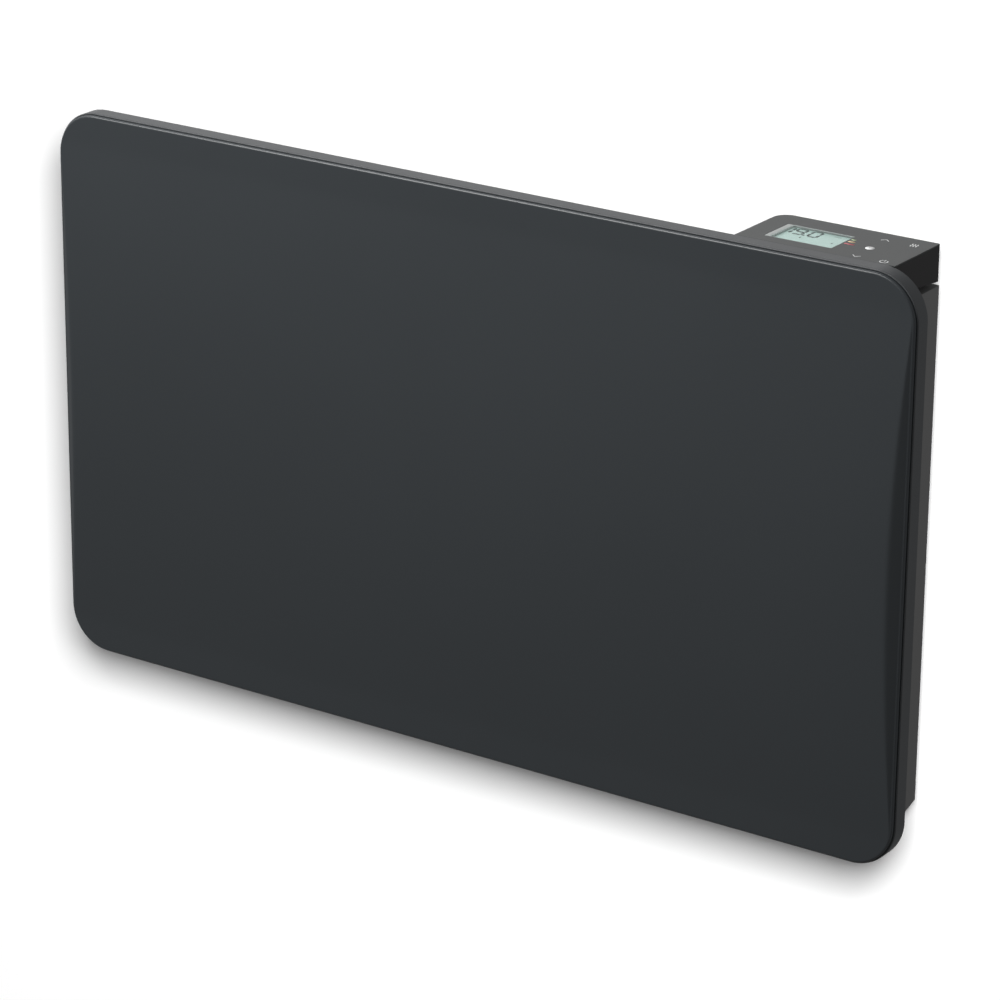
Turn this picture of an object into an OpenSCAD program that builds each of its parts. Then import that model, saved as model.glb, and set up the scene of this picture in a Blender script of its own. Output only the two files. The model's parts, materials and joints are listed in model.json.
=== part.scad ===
// Wall-hung electric radiator with a ceramic core, in millimetres.
// X runs along the width, the face looks along -Y and Z is up. The wall is the plane y = 0,
// and the origin is the centre of the four wall bolts, level with the middle of the panel.

/* [Front panel] */
// Width of the front panel
panel_w = 800; // [720:10:960]
// Height of the front panel
panel_h = 473; // [450:1:520]
// Radius of the panel's corners
panel_corner_r = 38; // [28:1:55]
// Depth of the frame round the panel
frame_depth = 14.2; // [13.6:0.1:18]
// Wall of the frame
frame_wall = 1.2; // [1:0.1:1.5]
// Gap between the frame's wall and the plate's skirt
groove_w = 0.3; // [0.2:0.05:0.6]
// How far the plate's skirt reaches into the frame
skirt_in = 5.2; // [4.6:0.1:6]
// How far the flat margin of the plate stands in front of the frame
plate_proud = 3.1; // [2.6:0.1:4]
// Sheet of the front plate
plate_wall = 2; // [1.5:0.1:2.5]
// Rounding of the plate's edge
plate_edge_r = 1.8; // [1.4:0.1:2.4]
// Height of the plate's shallow arch
crown_h = 6; // [3:0.5:8]
// Half the height over which the plate arches
crown_half = 210; // [180:5:215]
// Slope of the flat bevels at the two ends of the arch, in degrees
bevel_angle = 34; // [28:1:42]
// Thickness of the seal under the plate
seal_t = 1; // [0.8:0.1:1.5]

/* [Rear casing] */
// Depth of the casing behind the frame
case_depth = 69; // [66:1:76]
// Step from the frame's side to the casing's side
case_inset = 28; // [26:1:32]
// Step from the panel's top down to the casing's top
case_drop = 32; // [31:0.5:36]
// Height of the casing's rear lower edge over the panel's lower edge
case_rise = 24.5; // [20:0.5:30]
// Height of the casing's front lower edge over the panel's lower edge
case_toe = 4; // [3:0.5:7]
// Sheet of the casing
sheet_t = 1; // [0.8:0.1:1.3]
// Bend radius of the casing's upright rear edges
case_bend_r = 1.5; // [1.4:0.1:4]
// Width of the casing's screw flange
case_flange_w = 8; // [7.5:0.1:8.5]
// Space between the casing and the wall
wall_gap = 22; // [21:0.5:26]

/* [Grilles] */
// Depth of the outlet opening, front to back
outlet_d = 42; // [34:1:46]
// Distance from the casing's side to the outlet
outlet_side = 30; // [24:1:50]
// Spacing of the outlet's vanes
vane_pitch = 7; // [6:0.5:9]
// Thickness of a vane
vane_t = 1.4; // [1.2:0.1:1.8]
// Height of a vane
vane_h = 8; // [6:0.5:10]
// Lean of the vanes towards the front, in degrees
vane_lean = 32; // [20:1:38]
// Spacing of the outlet's cross ribs
rib_pitch = 45; // [36:1:60]
// Depth of the inlet opening, front to back
inlet_d = 34; // [28:1:40]
// Length of one inlet slot
slot_l = 12; // [9:1:12]
// Width of one inlet slot
slot_w = 4; // [3:0.5:5]
// Spacing of the inlet slots
slot_pitch = 16; // [14:1:24]

/* [Control box] */
// Width of the control box
box_w = 136; // [134:1:144]
// Height of the box at its rear
box_rear_h = 29.2; // [28.8:0.1:30]
// Height of the box at its front
box_front_h = 22.5; // [22.2:0.1:23.5]
// Wall of the box
box_wall = 2; // [1.8:0.1:2.2]
// Radius of the box's rear left corner, seen from above
box_corner_r = 12; // [8:0.5:14]
// Radius of the box's rear right corner, seen from above
box_edge_r = 1.6; // [1.4:0.1:4]
// Thickness of the touch panel on top of the box
touch_t = 1.5; // [1.2:0.1:1.8]
// Width of the display window
window_w = 57.4; // [50:0.1:60]
// Depth of the display window
window_d = 35.6; // [30:0.1:38]
// Distance from the box's left side to the window
window_left = 18.6; // [17:0.1:22]
// Distance from the box's front to the window
window_front = 11.8; // [10:0.1:14]
// Length of the mains switch's cut-out
switch_w = 19; // [17:0.5:19.5]
// Height of the mains switch's cut-out
switch_h = 13; // [12:0.5:13.5]
// Swing of the mains switch's rocker to each side, in degrees
rocker_tilt = 8; // [5:1:9]

/* [Ceramic core] */
// Distance from the casing's side to the bricks
core_side_gap = 59; // [55:1:75]
// Distance from the casing's top to the bricks
core_top_gap = 46; // [40:1:60]
// Distance from the panel's lower edge to the bricks
core_low_gap = 58; // [52:1:75]
// Joint between neighbouring bricks
brick_joint = 2; // [1:0.5:4]
// Thickness of one layer of bricks
brick_t = 10; // [9:0.5:12]
// Spacing of the upright air grooves in the rear bricks
groove_pitch = 13; // [10:0.5:20]
// Depth of the air grooves
air_groove_d = 4; // [2:0.5:5]
// Radius of the heating element's tube
tube_r = 3.5; // [3:0.1:4]
// Radius of the studs on the plate
stud_r = 2; // [1.6:0.1:2.2]
// Distance from the casing's back to the reflector
reflector_off = 32; // [28:0.5:36]

/* [Wall brackets] */
// Distance between the two brackets' bolt lines
bolt_span_x = 440; // [400:5:480]
// Distance between the upper and the lower bolts
bolt_span_z = 240; // [200:5:260]
// Radius of a wall bolt's hole
bolt_hole_r = 3; // [2.5:0.1:3.5]
// Width of a bracket
bracket_w = 40; // [36:1:46]
// Sheet of a bracket
bracket_t = 1.8; // [1.5:0.1:2.2]
// Height of the hooks over the middle of the panel
hook_z = 158; // [150:1:165]
// Height of the latch pins over the casing's lower rear edge
latch_rise = 29.5; // [29:0.5:34]
// Radius of a latch pin
pin_r = 2; // [1.5:0.1:2.5]
// Radial clearance of a latch on its pin
pin_clearance = 0.05; // [0.03:0.01:0.08]

/* [Screws and fits] */
// Radius of the casing's screws
screw_r = 1.7; // [1.4:0.1:1.9]
// Radius of a screw's head
screw_head_r = 3.3; // [3:0.1:3.5]
// Height of a screw's head
screw_head_h = 2; // [1.6:0.1:2.4]
// Assembly gap between pieces that fit together
fit_gap = 0.3; // [0.2:0.05:0.4]
// Radius of the mains lead that the gland takes
lead_r = 4; // [3.5:0.1:4.5]

/* [Hidden] */
$fn = 64;
BRICK_ROWS = 3;
BRICK_COLUMNS = 2;

// Planes across the depth
back_y = -wall_gap;
seam_y = back_y - case_depth;
rim_y = seam_y - frame_depth;
face_y = rim_y - plate_proud;
plate_rear_y = rim_y + skirt_in;
ledge_y = plate_rear_y + seal_t;

// Outlines seen from the front
half_w = panel_w / 2;
half_h = panel_h / 2;
plate_inset = frame_wall + groove_w;
plate_w = panel_w - 2 * plate_inset;
plate_h = panel_h - 2 * plate_inset;
plate_r = panel_corner_r - plate_inset;
case_x = half_w - case_inset;
case_top = half_h - case_drop;
case_slope = (case_rise - case_toe) / case_depth;
slope_angle = atan(case_slope);
function floor_z(y, inset = 0) =
    -half_h + case_toe + case_slope * (y - seam_y) + inset * sqrt(1 + case_slope * case_slope);

// Frame
ledge_w = 10;
flange_t = 1.8;
mouth_step = 6;
mouth_x = case_x - mouth_step;
mouth_top = case_top - mouth_step;
mouth_low = floor_z(seam_y) + mouth_step + 2;
boss_r = 3.4;
boss_l = 5;
screw_line = case_flange_w / 2 + 0.3;
screw_x = case_x + screw_line;
flange_x = case_x + case_flange_w;
flange_low = 20;
screw_z = case_top + screw_line;
box_step = 1;
box_x1 = case_x - box_step;
box_x = box_x1 - box_w;
side_screw_span = 150;
top_screw_in = 25;
top_screw_off = 30;
case_screw_places = concat(
    [for (side = [-1, 1], row = [-1 : 1]) [side * screw_x, row * side_screw_span]],
    [for (x = [-case_x + top_screw_in, -case_x / 3, box_x - top_screw_off]) [x, screw_z]]
);
screw_l = 4.6;
tab_w = 20;
gusset_t = 1.6;
gusset_w = 8;
gusset_pitch = panel_w / 11;
tab_places = [for (k = [-1.5 : 1 : 1.5]) k * case_x / 2];

// Core
core_x = case_x - core_side_gap;
core_top = case_top - core_top_gap;
core_low = -half_h + core_low_gap;
row_pitch = (core_top - core_low + brick_joint) / BRICK_ROWS;
brick_h = row_pitch - brick_joint;
brick_l = core_x - brick_joint / 2;
spreader_t = 1.5;
spreader_y = face_y + plate_wall + fit_gap;
front_brick_y = spreader_y + spreader_t + fit_gap;
tube_y = front_brick_y + brick_t + fit_gap / 2;
rear_brick_y = front_brick_y + brick_t + fit_gap;
bar_y = rear_brick_y + brick_t + fit_gap;
run_pitch = row_pitch / 2;
bend_start = core_x + 4;
function run_z(j) = core_low - brick_joint / 2 + (j + 0.5) * run_pitch;
tube_end_x = core_x + 20;
bar_w = 20;
bar_d = 8;
bar_t = 1.5;
bar_over = 18;
bar_places = [-core_x / 2, 0, core_x / 2];
bar_stud_out = 10;
collar_r = stud_r + 1.5;
bar_studs = [for (x = bar_places, z = [core_low - bar_stud_out, core_top + bar_stud_out]) [x, z]];
clip_in = 20;
clip_w = 14;
clip_t = 1.2;
clip_y = ledge_y + frame_wall + fit_gap;
clip_studs_x = [for (x = [-1, 0, 1]) x * half_w * 0.6];
clip_studs_z = [-95, 95];
clip_places = concat(
    [for (x = clip_studs_x, side = [-1, 1]) [x, side * (plate_h / 2 - clip_in), 90]],
    [for (z = clip_studs_z, side = [-1, 1]) [side * (plate_w / 2 - clip_in), z, 0]]
);
nut_r = stud_r * 1.9;
nut_h = 2.4;
stud_over = 0.8;
reflector_y = back_y - reflector_off;
reflector_t = 0.8;
reflector_over = 10;
reflector_x = core_x + 20;
foot_w = 24;
foot_h = 10;
foot_in = 20;
foot_screw_l = 6;
foot_places = [-reflector_x + foot_in, -reflector_x / 3, reflector_x / 3, reflector_x - foot_in];
foot_screws = [for (x = foot_places, z = [core_low - reflector_over + foot_h / 2 + reflector_t,
    core_top + reflector_over + foot_h / 2]) [x, z]];

// Grilles
outlet_x0 = -case_x + outlet_side;
outlet_x1 = box_x - 18;
outlet_y0 = back_y - case_depth / 2 - outlet_d / 2;
grille_lip = 5;
inlet_x = case_x - 40;
inlet_y0 = back_y - case_depth / 2 - inlet_d / 2 + 4;

// Sensor, gland and leads
sensor_in = 20;
gland_r = lead_r + 3;
gland_side = 43;
gland_drop = 20;
gland_at = [case_x - gland_side, core_top - gland_drop];
gland_out = 9;
gland_in = 8;
gland_nut_t = 5;
lead_wire_r = 1.3;
lead_bend = 4.5;
pin_l = 12;

// Control box
box_top = half_h - touch_t;
neck_w = 40;
neck_d = 16;
neck_wall = 1.6;
neck_x = box_x + 70;
neck_y = seam_y + 10.5;
window_x = box_x + window_left;
window_y = seam_y + window_front;
board_z = box_top - 6;
board_t = 1.6;
lcd_t = 2.4;
lcd_rim = 3;
power_z = box_top - 20.5;
power_x0 = box_x + 42;
power_x1 = box_x1 - box_wall - 3;
power_y0 = back_y - 48;
power_y1 = back_y - box_wall - 4;
power_top = power_z + board_t;
board_in = 4;
post_in = 4;
post_places = [for (x = [power_x0 + post_in, power_x1 - post_in],
    y = [power_y0 + post_in, power_y1 - post_in]) [x, y]];
box_screw_in = 16;
box_screw_places = [for (x = [box_x + box_screw_in, box_x1 - box_screw_in]) [x, half_h - box_front_h + 9]];
terminal_x = power_x0 + 16;
terminal_pole = 8;
terminal_in = 7;
terminal_hole_z = 4;
switch_x = box_x + 26;
switch_z = box_top - 15.5;
bezel_t = 1.5;
bezel_lip = 1.2;
bezel_x = switch_w / 2 + bezel_lip;
bezel_z = switch_h / 2 + bezel_lip;
pivot_y = back_y + bezel_t - 1;
rocker_half = switch_w / 2 - 1.7;
touch_keys = [[98.9, 52.8], [100.2, 5.7], [99.1, 28.5], [122.6, 53.3], [123.7, 5.4]];

// Brackets
bracket_x = bolt_span_x / 2;
bracket_d = wall_gap - fit_gap;
latch_y = -11;
latch_z = -half_h + case_rise + latch_rise;
latch_w = bracket_w - 2 * bracket_t - 2;
latch_swing = 14;
hook_h = 6;
hook_lip = 6;
bracket_low = latch_z - 16;
nose_top = 13;
nose_low = 20;
nose_reach = sheet_t + 1.4;

// A box between two opposite corners
module block(low, high) {
    translate(low) cube(high - low);
}

// A rod along the depth, at [x, z]
module rod_y(r, at, y0, y1) {
    translate([at[0], y1, at[1]]) rotate([90, 0, 0]) cylinder(r = r, h = y1 - y0);
}

// A rod along the width, at [y, z]
module rod_x(r, at, x0, x1) {
    translate([x0, at[0], at[1]]) rotate([0, 90, 0]) cylinder(r = r, h = x1 - x0);
}

// A rod upright, at [x, y]
module rod_z(r, at, z0, z1) {
    translate([at[0], at[1], z0]) cylinder(r = r, h = z1 - z0);
}

// An outline in [y, z], carried along the width
module carried_x(x0, x1) {
    translate([x0, 0, 0]) rotate([90, 0, 90]) linear_extrude(x1 - x0) children();
}

// A hexagon nut on a stud, at [x, z], with its hole
module nut_y(at, y0) {
    translate([at[0], y0 + nut_h, at[1]]) rotate([90, 0, 0]) difference() {
        cylinder(r = nut_r, h = nut_h, $fn = 6);
        translate([0, 0, -1]) cylinder(r = stud_r + 0.1, h = nut_h + 2);
    }
}

// A pan-head screw along the depth, whose head rests on y = seat and whose tip points to the face
module screw_y(at, seat, length) {
    rod_y(screw_head_r, at, seat, seat + screw_head_h);
    rod_y(screw_r, at, seat - length, seat + screw_head_h / 2);
}

// The panel's outline drawn in by inset, carried from y0 to y1
module slab(inset, y0, y1) {
    w = panel_w - 2 * inset;
    h = panel_h - 2 * inset;
    r = panel_corner_r - inset;
    translate([0, y1, 0]) rotate([90, 0, 0]) linear_extrude(y1 - y0) {
        square([w - 2 * r, h], center = true);
        square([w, h - 2 * r], center = true);
        for (x = [-1, 1], z = [-1, 1])
            translate([x * (w / 2 - r), z * (h / 2 - r)]) circle(r);
    }
}

// A ring that follows the panel's outline
module ring(outside, inside, y0, y1) {
    difference() {
        slab(outside, y0, y1);
        slab(inside, y0 - 1, y1 + 1);
    }
}

// The plate's outline with a rounded front edge. Its corners are revolved and its sides carried.
module soft_slab(w, h, r, edge, y0, y1) {
    depth = y1 - y0;
    translate([0, y1, 0]) rotate([90, 0, 0]) {
        translate([-w / 2 + r, -h / 2 + r, 0]) cube([w - 2 * r, h - 2 * r, depth]);
        for (k = [0 : 3]) {
            side = k % 2 == 0 ? [w / 2 - r, h / 2 - r] : [h / 2 - r, w / 2 - r];
            rotate([0, 0, 90 * k]) translate([side[0], side[1], 0])
                rotate_extrude(angle = 90) edge_section(r, edge, depth);
            rotate([0, 0, 90 * k]) translate([side[0], side[1], 0]) rotate([90, 0, 0])
                linear_extrude(2 * side[1]) edge_section(r, edge, depth);
        }
    }
}

// Section of the plate's edge: straight up and rounded over by a quarter circle
module edge_section(r, edge, depth) {
    square([r - edge, depth]);
    square([r, depth - edge]);
    translate([r - edge, depth - edge]) intersection() {
        circle(edge);
        square(edge);
    }
}

// How far the arch stands in front of the plate's flat margin, at height z
function crown(z) =
    crown_h * pow(max(0, 1 - z * z / crown_half / crown_half), 1.2);

// The arch, with a flat bevel at each end. The sheet's inner side is the same arch, set back by inset.
module crown_body(inset) {
    steps = 36;
    heights = [for (k = [0 : steps]) crown_half * (2 * k / steps - 1)];
    root_y = face_y + plate_wall * 0.6 + inset;
    front_y = face_y - crown_h - 1;
    foot_x = plate_w / 2 - plate_edge_r - inset * tan(bevel_angle / 2);
    tip_x = foot_x - (face_y + inset - front_y) / tan(bevel_angle);
    intersection() {
        carried_x(-half_w, half_w) polygon(concat(
            [[root_y, heights[0]]],
            [for (z = heights) [face_y + inset - crown(z), z]],
            [[root_y, heights[steps]]]
        ));
        translate([0, 0, -half_h]) linear_extrude(panel_h) polygon([
            [-foot_x, root_y + 1], [-foot_x, face_y + inset], [-tip_x, front_y],
            [tip_x, front_y], [foot_x, face_y + inset], [foot_x, root_y + 1]
        ]);
        slab(plate_inset + plate_edge_r * 0.8 + inset, front_y - 1, root_y + 1);
    }
}

// Perimeter frame: side wall, ledge for the plate, rear flange with bosses, and gussets
module front_frame() {
    gussets = [for (k = [-4.5 : 1 : 4.5]) k * gusset_pitch];
    color([0.2, 0.21, 0.22]) difference() {
        union() {
            ring(0, frame_wall, rim_y, seam_y);
            ring(frame_wall / 2, frame_wall + ledge_w, ledge_y, ledge_y + frame_wall);
            difference() {
                slab(frame_wall / 2, seam_y - flange_t, seam_y);
                block([-mouth_x, seam_y - flange_t - 1, mouth_low], [mouth_x, seam_y + 1, mouth_top]);
            }
            for (at = case_screw_places) rod_y(boss_r, at, seam_y - boss_l, seam_y - flange_t / 2);
            for (x = gussets, side = [-1, 1]) {
                edge = side * (half_h - frame_wall / 2);
                block([x - gusset_t / 2, ledge_y + frame_wall / 2, min(edge, edge - side * gusset_w)],
                      [x + gusset_t / 2, seam_y - flange_t / 2, max(edge, edge - side * gusset_w)]);
            }
        }
        for (at = case_screw_places) rod_y(screw_r + 0.1, at, seam_y - boss_l + 1, seam_y + 1);
        for (x = tab_places) block(
            [x - tab_w / 2 - fit_gap, seam_y - flange_t - 1, floor_z(seam_y) + sheet_t],
            [x + tab_w / 2 + fit_gap, seam_y + 1, floor_z(seam_y) + mouth_step + 3]);
        for (at = box_screw_places) rod_y(screw_r + 0.1, at, seam_y - flange_t - 1, seam_y + 1);
    }
}

// The room inside the plate's sheet, open to the rear
module plate_hollow() {
    soft_slab(plate_w - 2 * plate_wall, plate_h - 2 * plate_wall, plate_r - plate_wall,
        max(plate_edge_r - plate_wall, 0.5), face_y + plate_wall, plate_rear_y + 1);
    crown_body(plate_wall);
}

// Front plate: one pressed sheet with a rounded edge and a shallow arch
module front_plate() {
    color([0.2, 0.22, 0.24]) difference() {
        union() {
            soft_slab(plate_w, plate_h, plate_r, plate_edge_r, face_y, plate_rear_y);
            crown_body(0);
        }
        plate_hollow();
    }
}

// Studs welded to the plate's inner side, each with a collar that its sheet is clamped against
module plate_studs() {
    places = concat(bar_studs, clip_places);
    color([0.7, 0.7, 0.71]) {
        intersection() {
            plate_hollow();
            for (at = places) rod_y(collar_r, at, face_y - crown_h, plate_rear_y + 0.5);
        }
        for (at = bar_studs) stud(at, bar_y, bar_t);
        for (at = clip_places) stud(at, clip_y, clip_t);
    }
}

// Rear part of a stud at [x, z]: its collar ends at y = seat, and its rod passes a sheet and a nut
module stud(at, seat, sheet) {
    rod_y(collar_r, at, plate_rear_y, seat);
    rod_y(stud_r, at, seat - 1, seat + sheet + nut_h + stud_over);
}

// Seal between the plate's edge and the frame's ledge
module plate_seal() {
    color([0.08, 0.08, 0.09])
        ring(frame_wall + fit_gap, frame_wall + ledge_w - 1, plate_rear_y, ledge_y);
}

// Strap clips that reach from the plate's studs behind the frame's ledge
module plate_clips() {
    color([0.7, 0.71, 0.72]) for (at = clip_places)
        translate([at[0], 0, at[1]]) {
            outward = at[2] == 0 ? [sign(at[0]), 0] : [0, sign(at[1])];
            reach = clip_in + groove_w - fit_gap;
            tail = clip_w / 2;
            difference() {
                block([min(-tail, outward[0] * reach), clip_y, min(-tail, outward[1] * reach)],
                      [max(tail, outward[0] * reach), clip_y + clip_t, max(tail, outward[1] * reach)]);
                rod_y(stud_r + 0.15, [0, 0], clip_y - 1, clip_y + clip_t + 1);
            }
        }
}

// Nuts on all the plate's studs
module plate_nuts() {
    color([0.72, 0.73, 0.74]) {
        for (at = bar_studs) nut_y(at, bar_y + bar_t);
        for (at = clip_places) nut_y(at, clip_y + clip_t);
    }
}

// Flat aluminium sheet that takes the core's heat to the plate
module heat_spreader() {
    inset = plate_inset + plate_wall + 2;
    color([0.82, 0.83, 0.84]) difference() {
        slab(inset, spreader_y, spreader_y + spreader_t);
        for (at = concat(bar_studs, clip_places))
            rod_y(collar_r + fit_gap, at, spreader_y - 1, spreader_y + spreader_t + 1);
    }
}

// Place of brick n, counted from the lower left: its [x, z] corner
function brick_corner(n) = [
    (n - 1) % BRICK_COLUMNS == 0 ? -core_x : brick_joint / 2,
    core_low + floor((n - 1) / BRICK_COLUMNS) * row_pitch
];

// Half-round seats for the two runs of the element that a row of bricks holds
module tube_seats() {
    for (j = [0 : 2 * BRICK_ROWS - 1])
        rod_x(tube_r + fit_gap, [tube_y, run_z(j)], -core_x - 1, core_x + 1);
}

// Flat ceramic brick between the spreader and the element
module front_brick(n) {
    at = brick_corner(n);
    color([0.86, 0.83, 0.77]) difference() {
        block([at[0], front_brick_y, at[1]], [at[0] + brick_l, front_brick_y + brick_t, at[1] + brick_h]);
        tube_seats();
    }
}

// Ceramic brick behind the element, with upright air grooves in its back
module rear_brick(n) {
    at = brick_corner(n);
    grooves = floor((brick_l - groove_pitch / 2) / groove_pitch);
    first = at[0] + (brick_l - (grooves - 1) * groove_pitch) / 2;
    groove_half = groove_pitch * 0.27;
    rear = rear_brick_y + brick_t;
    color([0.84, 0.81, 0.75]) difference() {
        block([at[0], rear_brick_y, at[1]], [at[0] + brick_l, rear, at[1] + brick_h]);
        tube_seats();
        for (k = [0 : grooves - 1])
            translate([first + k * groove_pitch, 0, at[1] - 1]) linear_extrude(brick_h + 2) polygon([
                [-groove_half, rear + 1], [-groove_half * 0.7, rear - air_groove_d],
                [groove_half * 0.7, rear - air_groove_d], [groove_half, rear + 1]
            ]);
    }
}

// One return bend of the element: half a ring that opens towards the core
module return_bend(side, low) {
    middle = (run_z(low) + run_z(low + 1)) / 2;
    translate([side * bend_start, tube_y, middle]) rotate([90, side * 90, 0])
        rotate_extrude(angle = 180) translate([run_pitch / 2, 0]) circle(tube_r);
}

// Sheathed heating element: six runs in a serpentine, both ends on the right
module heating_element() {
    last = 2 * BRICK_ROWS - 1;
    color([0.55, 0.52, 0.48]) {
        for (j = [0 : last]) {
            right = j == 0 || j == last ? tube_end_x : bend_start;
            rod_x(tube_r, [tube_y, run_z(j)], -bend_start, right);
        }
        for (j = [0 : 2 : last - 1]) return_bend(-1, j);
        for (j = [1 : 2 : last - 2]) return_bend(1, j);
        for (j = [0, last]) rod_x(1.2, [tube_y, run_z(j)], tube_end_x - 1, tube_end_x + pin_l);
    }
}

// Ceramic beads that insulate the element's two cold pins
module element_beads() {
    color([0.93, 0.92, 0.88]) for (j = [0, 2 * BRICK_ROWS - 1]) difference() {
        rod_x(3, [tube_y, run_z(j)], tube_end_x, tube_end_x + 6);
        rod_x(1.4, [tube_y, run_z(j)], tube_end_x - 1, tube_end_x + 7);
    }
}

// Channel bar that clamps the bricks to the plate
module clamp_bar(x) {
    low = core_low - bar_over;
    high = core_top + bar_over;
    color([0.68, 0.69, 0.7]) difference() {
        block([x - bar_w / 2, bar_y, low], [x + bar_w / 2, bar_y + bar_d, high]);
        block([x - bar_w / 2 + bar_t, bar_y + bar_t, low - 1],
              [x + bar_w / 2 - bar_t, bar_y + bar_d + 1, high + 1]);
        for (z = [core_low - bar_stud_out, core_top + bar_stud_out])
            rod_y(stud_r + 0.15, [x, z], bar_y - 1, bar_y + bar_t + 1);
    }
}

// Bimetal cut-out that sits in the right clamp bar, with two blade terminals
module thermal_cutout() {
    at = [bar_places[2], core_top - 22];
    foot_y = bar_y + bar_t;
    color([0.2, 0.18, 0.17]) {
        rod_y(7.6, at, foot_y, foot_y + 4);
        rod_y(6.4, at, foot_y + 3.5, foot_y + 9);
        for (z = [-3, 3]) block([at[0] - 3, foot_y + 8.5, at[1] + z - 0.4],
                                [at[0] + 3, foot_y + 15, at[1] + z + 0.4]);
    }
}

// Reflector sheet with folded edges and feet on the casing's back
module heat_reflector() {
    low = core_low - reflector_over;
    high = core_top + reflector_over;
    rear = back_y - sheet_t;
    color([0.85, 0.85, 0.86]) difference() {
        union() {
            block([-reflector_x, reflector_y, low], [reflector_x, reflector_y + reflector_t, high]);
            for (x = foot_places) {
                block([x - foot_w / 2, reflector_y, high - reflector_t], [x + foot_w / 2, rear, high]);
                block([x - foot_w / 2, rear - reflector_t, high - reflector_t],
                      [x + foot_w / 2, rear, high + foot_h]);
                block([x - foot_w / 2, reflector_y, low], [x + foot_w / 2, rear, low + reflector_t]);
                block([x - foot_w / 2, rear - reflector_t, low], [x + foot_w / 2, rear, low + foot_h]);
            }
            for (side = [-1, 1])
                block([min(side * reflector_x, side * (reflector_x - reflector_t)), reflector_y, low],
                      [max(side * reflector_x, side * (reflector_x - reflector_t)), reflector_y + 8, high]);
        }
        for (at = foot_screws) rod_y(screw_r + 0.1, at, rear - 2, rear + 1);
    }
}

// Screws through the casing's back into the reflector's feet
module reflector_screws() {
    color([0.3, 0.3, 0.31]) for (at = foot_screws) screw_y(at, back_y, foot_screw_l);
}

// Side outline of the casing in [y, z], drawn in by inset
function case_outline(inset, front) = [
    [front, floor_z(front, inset)], [back_y - inset, floor_z(back_y - inset, inset)],
    [back_y - inset, case_top - inset], [front, case_top - inset]
];

// The casing's block, drawn in by inset, with its upright rear edges rounded
module case_block(inset, front) {
    r = case_bend_r - inset;
    x = case_x - inset;
    intersection() {
        carried_x(-x, x) polygon(case_outline(inset, front));
        translate([0, 0, -half_h]) linear_extrude(panel_h) {
            translate([-x, front - 1]) square([2 * x, back_y - inset - r - front + 1]);
            translate([-x + r, front - 1]) square([2 * x - 2 * r, back_y - inset - front + 1]);
            for (side = [-1, 1]) translate([side * (x - r), back_y - inset - r]) circle(r);
        }
    }
}

// Rear casing: folded sheet with a screw flange, hook and latch slots, outlet and inlet openings
module rear_casing() {
    color([0.3, 0.3, 0.3]) difference() {
        union() {
            difference() {
                case_block(0, seam_y);
                case_block(sheet_t, seam_y - 1);
            }
            for (side = [-1, 1]) block(
                [min(side * (case_x - sheet_t), side * flange_x), seam_y, floor_z(seam_y) + flange_low],
                [max(side * (case_x - sheet_t), side * flange_x), seam_y + sheet_t, case_top]);
            block([-case_x, seam_y, case_top - sheet_t],
                  [case_x, seam_y + sheet_t, case_top + case_flange_w]);
            for (x = tab_places) block(
                [x - tab_w / 2, seam_y - flange_t - 2, floor_z(seam_y, sheet_t) + fit_gap],
                [x + tab_w / 2, seam_y + 8, floor_z(seam_y, sheet_t) + fit_gap + 2.4]);
        }
        for (at = case_screw_places) rod_y(screw_r + fit_gap, at, seam_y - 1, seam_y + sheet_t + 1);
        for (at = foot_screws) rod_y(screw_r + 0.1, at, back_y - sheet_t - 1, back_y + 1);
        block([outlet_x0, outlet_y0, case_top - sheet_t - 1],
              [outlet_x1, outlet_y0 + outlet_d, case_top + 1]);
        inlet_place() block([-inlet_x, 0, -4], [inlet_x, inlet_d, 4]);
        block([neck_x - neck_w / 2 - fit_gap, neck_y - neck_d / 2 - fit_gap, case_top - sheet_t - 1],
              [neck_x + neck_w / 2 + fit_gap, neck_y + neck_d / 2 + fit_gap, case_top + 1]);
        for (side = [-1, 1]) translate([side * bracket_x, 0, 0]) {
            block([-bracket_w / 2 - 2, back_y - sheet_t - 1, hook_z - hook_h - hook_lip - 2],
                  [bracket_w / 2 + 2, back_y + 1, hook_z + fit_gap]);
            block([-latch_w / 2 - 1, back_y - sheet_t - 1, latch_z - nose_low - 3.6],
                  [latch_w / 2 + 1, back_y + 1, latch_z - nose_top + 0.6]);
        }
        rod_y(gland_r + fit_gap, gland_at, back_y - sheet_t - 1, back_y + 1);
    }
}

// The inlet's frame of reference: its own x and depth along the sloping floor
module inlet_place() {
    translate([0, inlet_y0, floor_z(inlet_y0)]) rotate([slope_angle, 0, 0]) children();
}

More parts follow.
